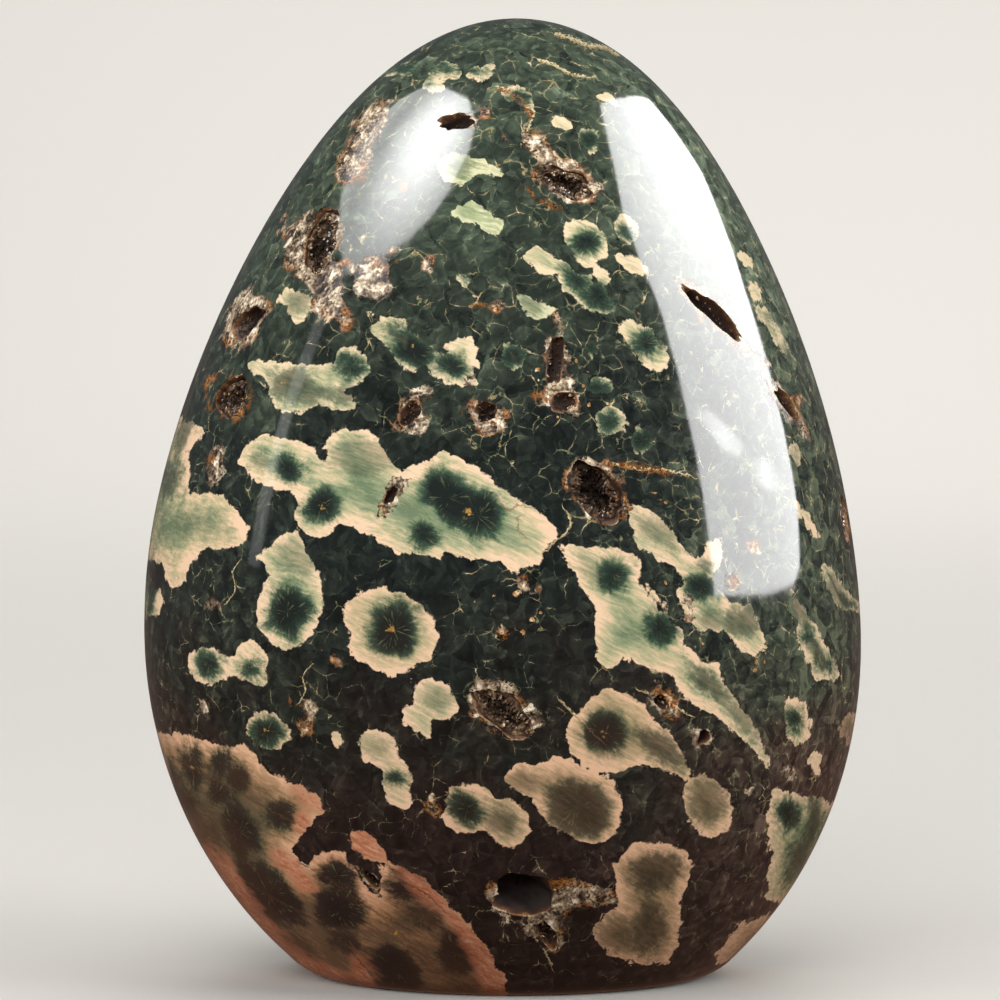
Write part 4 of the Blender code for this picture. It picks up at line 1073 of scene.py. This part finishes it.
def druzyQuartz():
    material, tree, shader = newMaterial("druzyQuartz")
    add = partial(addNode, tree)
    position = add("VectorMath", {0: add("TexCoord").outputs["Object"], "Scale": 1000.0}, operation="SCALE")
    wallDepth = add("Attribute", attribute_name="wallDepth").outputs["Fac"]
    patches = add("TexNoise", {"Vector": position, "Scale": 0.55, "Detail": 3.0})
    grain = add("TexNoise", {"Vector": position, "Scale": 1 / quartz["grain"], "Detail": 3.0,
                             "Roughness": 0.6})
    # the deeper in the vug, the darker the crust: painted shade over the brown of iron
    place = add("MapRange", {"Value": wallDepth, "From Min": 0.0, "From Max": 2.6, "To Min": 0.18,
                             "To Max": 0.85})
    place = add("Math", {0: grain, 1: -1.6, 2: place}, operation="MULTIPLY_ADD")
    place = add("Math", {0: patches, 1: 0.9, 2: place}, operation="MULTIPLY_ADD")
    place = add("Math", {0: place, 1: 0.42}, operation="ADD")
    stainAndShade = add("ValToRGB", {0: place}, stops=[
        (0.0, "#efe3cd"), (0.14, "#bda27f"), (0.32, "#776049"), (0.6, "#463930"), (1.0, "#2a231f")])
    rust = add("ValToRGB", {0: grain}, stops=[(0.35, "#6b4324"), (0.6, "#bb8248"), (0.75, "#e8c693")])
    rustShare = add("MapRange", {"Value": patches, "From Min": 0.6, "From Max": 0.75, "To Max": 0.6})
    stainAndShade = add("Mix", {0: rustShare, 1: stainAndShade, 2: rust}, data_type="RGBA")
    rough = add("MapRange", {"Value": grain, "From Min": 0.3, "From Max": 0.7,
                             "To Min": quartz["roughness"] - 0.06, "To Max": quartz["roughness"] + 0.12})
    bump = add("Bump", {"Height": grain, "Distance": 0.08 * mm, "Strength": 0.6})
    tree.links.new(stainAndShade.outputs[2], shader.inputs["Base Color"])
    tree.links.new(rough.outputs[0], shader.inputs["Roughness"])
    tree.links.new(bump.outputs[0], shader.inputs["Normal"])
    shader.inputs["IOR"].default_value = quartz["ior"]
    return material


jasperMaterial, quartzMaterial = polishedJasper(), druzyQuartz()
print("materials made")


# The stone piece

def writeField(mesh, name, values):
    kind = "FLOAT_VECTOR" if values.ndim == 2 else "FLOAT"
    layer = mesh.attributes.new(name, kind, "POINT")
    layer.data.foreach_set("vector" if values.ndim == 2 else "value", values.astype(np.float32).ravel())


def meshPoints(mesh):
    flat = np.empty(len(mesh.vertices) * 3, np.float32)
    mesh.vertices.foreach_get("co", flat)
    return flat.reshape(-1, 3).astype(float) / mm


def carvedStone():
    # the egg, less every vug's ball, with the rims kept sharp
    points, faces = stoneSurface()
    piece = newPiece("jasperStone", points, faces, jasperMaterial)
    allPoints, allFaces, start = [], [], 0
    for name in vugs:
        ballPoints, ballFaces = vugHollow(name)
        allPoints.append(ballPoints)
        allFaces += [[corner + start for corner in face] for face in ballFaces]
        start += len(ballPoints)
    cutter = newPiece("hollows", np.concatenate(allPoints), allFaces, jasperMaterial)
    cut = piece.modifiers.new("vugs", "BOOLEAN")
    cut.operation, cut.object, cut.solver = "DIFFERENCE", cutter, "MANIFOLD"
    graph = bpy.context.evaluated_depsgraph_get()
    carved = bpy.data.meshes.new_from_object(piece.evaluated_get(graph))
    piece.modifiers.clear()
    piece.data = carved
    bpy.data.objects.remove(cutter)
    carved.shade_smooth()
    carved.set_sharp_from_angle(angle=np.radians(38))
    points = meshPoints(carved)
    for name, values in markFields(points).items():
        writeField(carved, name, values)
    writeField(carved, "wallDepth", depthBelowPolish(points))
    writeField(carved, "height", points[:, 2])
    return piece


jasperStone = carvedStone()
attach(jasperStone, "root")
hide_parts("jasper_stone")
print("stone carved:", len(jasperStone.data.vertices), "vertices")


# The quartz crusts

crust = {"gap": 0.12, "thickness": 0.4, "columns": 44, "rings": 14, "pointsPerSquareMm": 3.2,
         "length": (0.35, 0.95), "width": (0.1, 0.3), "clearance": 0.25, "highest": -0.3}


def quartzPoints(roots, axes, lengths, widths, turns):
    # six-sided prisms with six-sided tips: a hexagon at the root, another at two thirds, and a point
    side = np.cross(axes, np.where(np.abs(axes[:, 2:]) < 0.9, (0, 0, 1.0), (1.0, 0, 0)))
    side /= np.linalg.norm(side, axis=1, keepdims=True)
    other = np.cross(axes, side)
    angles = turns[:, None] + np.arange(6) * np.pi / 3
    spokes = (np.cos(angles)[..., None] * side[:, None] + np.sin(angles)[..., None] * other[:, None])
    spokes = spokes * widths[:, None, None]
    foot = roots[:, None] + spokes - 0.25 * lengths[:, None, None] * axes[:, None]
    shoulder = roots[:, None] + spokes * 0.88 + 0.62 * lengths[:, None, None] * axes[:, None]
    tip = roots[:, None] + lengths[:, None, None] * axes[:, None]
    points = np.concatenate((foot, shoulder, tip), axis=1).reshape(-1, 3)
    ring = np.arange(6)
    after = (ring + 1) % 6
    faces = []
    sides = np.stack((ring, after, after + 6, ring + 6), axis=1)
    tips = np.stack((ring + 6, after + 6, np.full(6, 12)), axis=1)
    starts = np.arange(len(roots))[:, None, None] * 13
    faces += (sides[None] + starts).reshape(-1, 4).tolist()
    faces += (tips[None] + starts).reshape(-1, 3).tolist()
    faces += (ring[::-1][None] + starts[:, 0]).tolist()
    return points, faces


def strewnPoints(name, rng, count, scale, inset):
    # quartz points over the wall of a vug, leaning to its axis, each kept below the polished surface
    halves = vugHalves(name)
    directions = rng.normal(size=(count * 3, 3))
    directions[:, 2] = -np.abs(directions[:, 2])
    directions /= np.linalg.norm(directions, axis=1, keepdims=True)
    directions = directions[directions[:, 2] < crust["highest"]][:count]
    walls = vugWall(name, directions) * (1 - inset / np.linalg.norm(directions * halves, axis=1))[:, None]
    inward = -directions / halves ** 2 * halves.min() ** 2 + rng.normal(size=directions.shape) * 0.22
    inward[:, 2] = np.abs(inward[:, 2]) + 0.25
    inward /= np.linalg.norm(inward, axis=1, keepdims=True)
    lengths = rng.uniform(*crust["length"], len(walls)) * scale
    room = (-crust["clearance"] - walls[:, 2]) / inward[:, 2]
    lengths = np.minimum(lengths, room * 0.92)
    keep = lengths > 0.3 * scale
    widths = rng.uniform(*crust["width"], len(walls)) * scale
    middle, axes = vugFrame(name)
    return quartzPoints(middle + walls[keep] @ axes, inward[keep] @ axes, lengths[keep], widths[keep],
                        rng.uniform(0, 6, keep.sum()))


def crustBowl(name):
    # two walls of the same vug, one a crust's thickness inside the other, from just below the rim to the floor
    columns, rings = crust["columns"], crust["rings"]
    halves = vugHalves(name)
    down, around = np.meshgrid(np.pi / 2 * (1 + 0.2 + 0.8 * np.arange(rings) / rings),
                               2 * np.pi * np.arange(columns) / columns, indexing="ij")
    directions = np.concatenate((ballDirections(down, around), ((0, 0, -1.0),)))
    wall = vugWall(name, directions)
    reach = np.linalg.norm(directions * halves, axis=1)
    ripple = 0.5 + 0.5 * waveNoise(directions * 9, 77)
    outer = wall * (1 - crust["gap"] / reach)[:, None]
    inner = wall * (1 - (crust["gap"] + crust["thickness"] * (0.8 + 0.5 * ripple)) / reach)[:, None]
    total = len(directions)
    bowl = gridFaces(rings, columns)
    fan = fanFaces((rings - 1) * columns, columns, total - 1, above=False)
    ring = np.arange(columns)
    after = (ring + 1) % columns
    lip = np.stack((ring, after, after + total, ring + total), axis=1)
    faces = (bowl.tolist() + fan.tolist() + (bowl[:, ::-1] + total).tolist() + (fan[:, ::-1] + total).tolist()
             + lip.tolist())
    middle, axes = vugFrame(name)
    return np.concatenate((outer, inner)) @ axes + middle, faces


def joinParts(parts):
    # several sets of points and faces as one
    starts = np.cumsum([0] + [len(points) for points, _ in parts])
    faces = [[corner + start for corner in face] for start, (_, part) in zip(starts, parts) for face in part]
    return np.concatenate([points for points, _ in parts]), faces


def finishQuartz(piece):
    writeField(piece.data, "wallDepth", depthBelowPolish(meshPoints(piece.data)))
    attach(piece, "root")


for index, (name, node) in enumerate(linedVugs.items()):
    rng = np.random.default_rng(100 + index)
    halves = vugHalves(name)
    area = 2 * np.pi * ((halves[0] * halves[1]) ** 1.6 / 3 + (halves[0] * halves[2]) ** 1.6 / 3
                        + (halves[1] * halves[2]) ** 1.6 / 3) ** (1 / 1.6)
    count = int(area * crust["pointsPerSquareMm"])
    grown = strewnPoints(name, rng, count, 1.0, crust["gap"] + crust["thickness"])
    points, faces = joinParts([crustBowl(name), grown])
    piece = newPiece("quartzCrust" + name[0].upper() + name[1:], points, faces, quartzMaterial, smooth=False)
    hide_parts(node)
    finishQuartz(piece)

bareVugs = ["slitVug", "crownNotch", "leftHollow", "rightCrack", "smallRoundVug", "starHole", "crystalSeam",
            "rustSeam", "salmonPit", "patchPit", "footSeam", "backSlit", "rightRearVug", "leftSideVug",
            "rearFootPit", "rearCrownPit"]
parts = []
for index, name in enumerate(bareVugs):
    rng = np.random.default_rng(300 + index)
    halves = vugHalves(name)
    count = int(5 * halves[0] * (halves[1] + halves[2]))
    parts.append(strewnPoints(name, rng, count, 0.62, 0.02))
points, faces = joinParts(parts)
smallPoints = newPiece("quartzPointsSmallVugs", points, faces, quartzMaterial, smooth=False)
finishQuartz(smallPoints)
print("quartz grown")


# Floor and light

bowl = {"flat": 900.0, "bend": 500.0, "top": 2600.0, "columns": 72}


def studioBowl():
    # a round floor that turns up into a backdrop on every side: flat, a quarter circle, then upright
    turn = np.linspace(0, np.pi / 2, 24)
    flat, bend, columns = bowl["flat"], bowl["bend"], bowl["columns"]
    reach = np.concatenate((np.linspace(0, 1, 6)[1:-1] * flat, flat + bend * np.sin(turn), [flat + bend]))
    rise = np.concatenate((np.zeros(4), bend * (1 - np.cos(turn)), [bowl["top"]]))
    around = 2 * np.pi * np.arange(columns) / columns
    points = np.stack((reach[:, None] * np.cos(around), reach[:, None] * np.sin(around),
                       np.repeat(rise[:, None], columns, 1)), axis=-1).reshape(-1, 3)
    faces = gridFaces(len(reach), columns).tolist() + fanFaces(0, columns, len(points)).tolist()
    return np.concatenate((points, ((0.0, 0.0, 0.0),))), faces


# Studio paper: matt and pale, and only plain
paper, _, paperShader = newMaterial("studioPaper")
paperShader.inputs["Base Color"].default_value = colour("#b9b6b0")
paperShader.inputs["Roughness"].default_value = 0.9
paperShader.inputs["Specular IOR Level"].default_value = 0.1
floor = newPiece("studioFloor", *studioBowl(), paper)
floor.visible_glossy = floor.visible_diffuse = floor.visible_shadow = False

# Light panels that show only as gloss. A panel stands at a place and faces a direction. Its outline is that of
# its highlight, read off the photograph in its pixels, or else corners in mm on its own plane. It is
# brightest at its middle and dims to its reach, both in mm on that plane.
panels = {
    "rightSoftbox": dict(place=(500, 0, 0), facing=(1, 0, 0), highlight=[
        (715, 597), (764, 595), (793, 585), (800, 566), (798, 510), (790, 460), (776, 400), (762, 345),
        (745, 290), (725, 230), (700, 170), (650, 100), (638, 96), (624, 97), (600, 105), (610, 150),
        (622, 210), (640, 260), (660, 310), (690, 430)], middle=(60, 520), reach=430, radiance=(16.0, 11.0)),
    "softboxBulb": dict(place=(497, 0, 0), facing=(1, 0, 0), highlight=[
        (722, 449), (742, 457), (745, 445), (706, 409), (693, 412)], middle=(-120, 240), reach=100,
        radiance=(18.0, 15.0)),
    "softboxBulbLow": dict(place=(497, 0, 0), facing=(1, 0, 0), highlight=[
        (752, 478), (765, 488), (778, 492), (782, 475), (770, 458), (752, 462)], middle=(20, 172), reach=60,
        radiance=(16.0, 12.0)),
    "leftOctabox": dict(place=(-370, -70, 560), facing=(-370, -70, 494), highlight=[
        (430, 85), (450, 90), (470, 100), (475, 130), (470, 150), (450, 190), (430, 220), (410, 240),
        (380, 260), (345, 275), (338, 240), (340, 200), (352, 165), (370, 130), (400, 100)],
        middle=(70, 90), reach=270, radiance=(22.0, 5.0)),
    "leftStrip": dict(place=(-520, -110, 100), facing=(1, 0, 0), corners=[
        (-25, 10), (25, 10), (30, 310), (-20, 310)], middle=(0, 160), reach=200, radiance=(1.8, 1.0))}


def panelAxes(panel):
    # the panel's level direction, its upward direction and the one it faces, each of length 1
    facing = np.array(panel["facing"], float) / np.linalg.norm(panel["facing"])
    level = np.cross((0, 0, 1.0), facing)
    level /= np.linalg.norm(level)
    return np.stack((level, np.cross(facing, level), facing))


def stoneSeenAt(pixels, eye):
    # where the line of sight of each pixel first lies inside the stone, of many small steps along it
    offset = (np.array(pixels, float) - view["centre"]) / view["pixelsPerMm"]
    sight = forward * view["distance"] + offset[:, :1] * (1.0, 0, 0) - offset[:, 1:] * upward
    walk = eye + sight[:, None] * np.linspace(0.9, 1.05, 6001)[:, None]
    flat = walk.reshape(-1, 3)
    _, share = stoneAzimuth(flat)
    inside = ((share < sectionShare(flat[:, 2])) & (flat[:, 2] > 0)).reshape(walk.shape[:2])
    return walk[np.arange(len(walk)), inside.argmax(axis=1)]


def panelCorners(panel):
    # a line of sight that meets the stone is turned back, 2 (n . v) n - v, and followed to the panel's plane
    place, axes = np.array(panel["place"], float), panelAxes(panel)
    if "corners" in panel:
        return place + np.array(panel["corners"], float) @ axes[:2]
    eye = target - forward * view["distance"]
    here = stoneSeenAt(panel["highlight"], eye)
    out = stoneNormal(stoneAzimuth(here)[0], here[:, 2])
    back = (eye - here) / np.linalg.norm(eye - here, axis=1, keepdims=True)
    turned = 2 * (out * back).sum(axis=1, keepdims=True) * out - back
    return here + turned * (((place - here) @ axes[2]) / (turned @ axes[2]))[:, None]


for name, panel in panels.items():
    glow, glowTree, _ = newMaterial(name + "Glow")
    middle = (np.array(panel["place"]) + np.array(panel["middle"]) @ panelAxes(panel)[:2]) * mm
    away = addNode(glowTree, "VectorMath", {0: addNode(glowTree, "TexCoord").outputs["Object"], 1: middle},
                   operation="DISTANCE").outputs["Value"]
    bright, dim = panel["radiance"]
    strength = addNode(glowTree, "MapRange", {"Value": away, "From Max": panel["reach"] * mm, "To Min": bright,
                                              "To Max": dim}, interpolation_type="SMOOTHSTEP")
    emission = addNode(glowTree, "Emission", {"Strength": strength})
    glowTree.links.new(emission.outputs[0], glowTree.nodes["Material Output"].inputs["Surface"])
    corners = panelCorners(panel)
    sheet = newPiece(name, corners, [list(range(len(corners)))], glow)
    sheet.visible_camera = sheet.visible_diffuse = sheet.visible_shadow = False

# Fill lights that light the stone and don't show in it: place, side and radiance
fills = {"frontFill": ((-250, -1100, 700), 800, 5.6), "rightFill": ((900, -350, 400), 600, 7.0),
         "leftFill": ((-900, -350, 350), 600, 5.5), "rearFill": ((100, 1100, 700), 900, 4.5),
         "topFill": ((0, 0, 1300), 900, 3.0)}

for name, (place, side, radiance) in fills.items():
    lamp = bpy.data.lights.new(name, "AREA")
    lamp.size = side * mm
    lamp.energy = radiance * np.pi * lamp.size ** 2
    holder = bpy.data.objects.new(name, lamp)
    holder.location = Vector(place) * mm
    holder.rotation_euler = (Vector((0, 0, 60)) - Vector(place)).to_track_quat("-Z", "Y").to_euler()
    holder.visible_camera = holder.visible_glossy = False
    bpy.context.scene.collection.objects.link(holder)

# The room: dim and neutral above, and a faint warm glow from below the level of the floor
world = bpy.data.worlds.new("studio")
world.use_nodes = True
rise = addNode(world.node_tree, "SeparateXYZ", {0: addNode(world.node_tree, "TexCoord").outputs["Generated"]})
glowRamp = addNode(world.node_tree, "ValToRGB", {0: addNode(world.node_tree, "MapRange", {
    "Value": rise.outputs["Z"], "From Min": -0.3, "From Max": 0.2})}, stops=[(0.0, "#5f4538"), (1.0, "#55565a")])
world.node_tree.links.new(glowRamp.outputs[0], world.node_tree.nodes["Background"].inputs["Color"])
bpy.context.scene.world = world
bpy.context.scene.view_settings.view_transform = "Standard"
print("stage set")
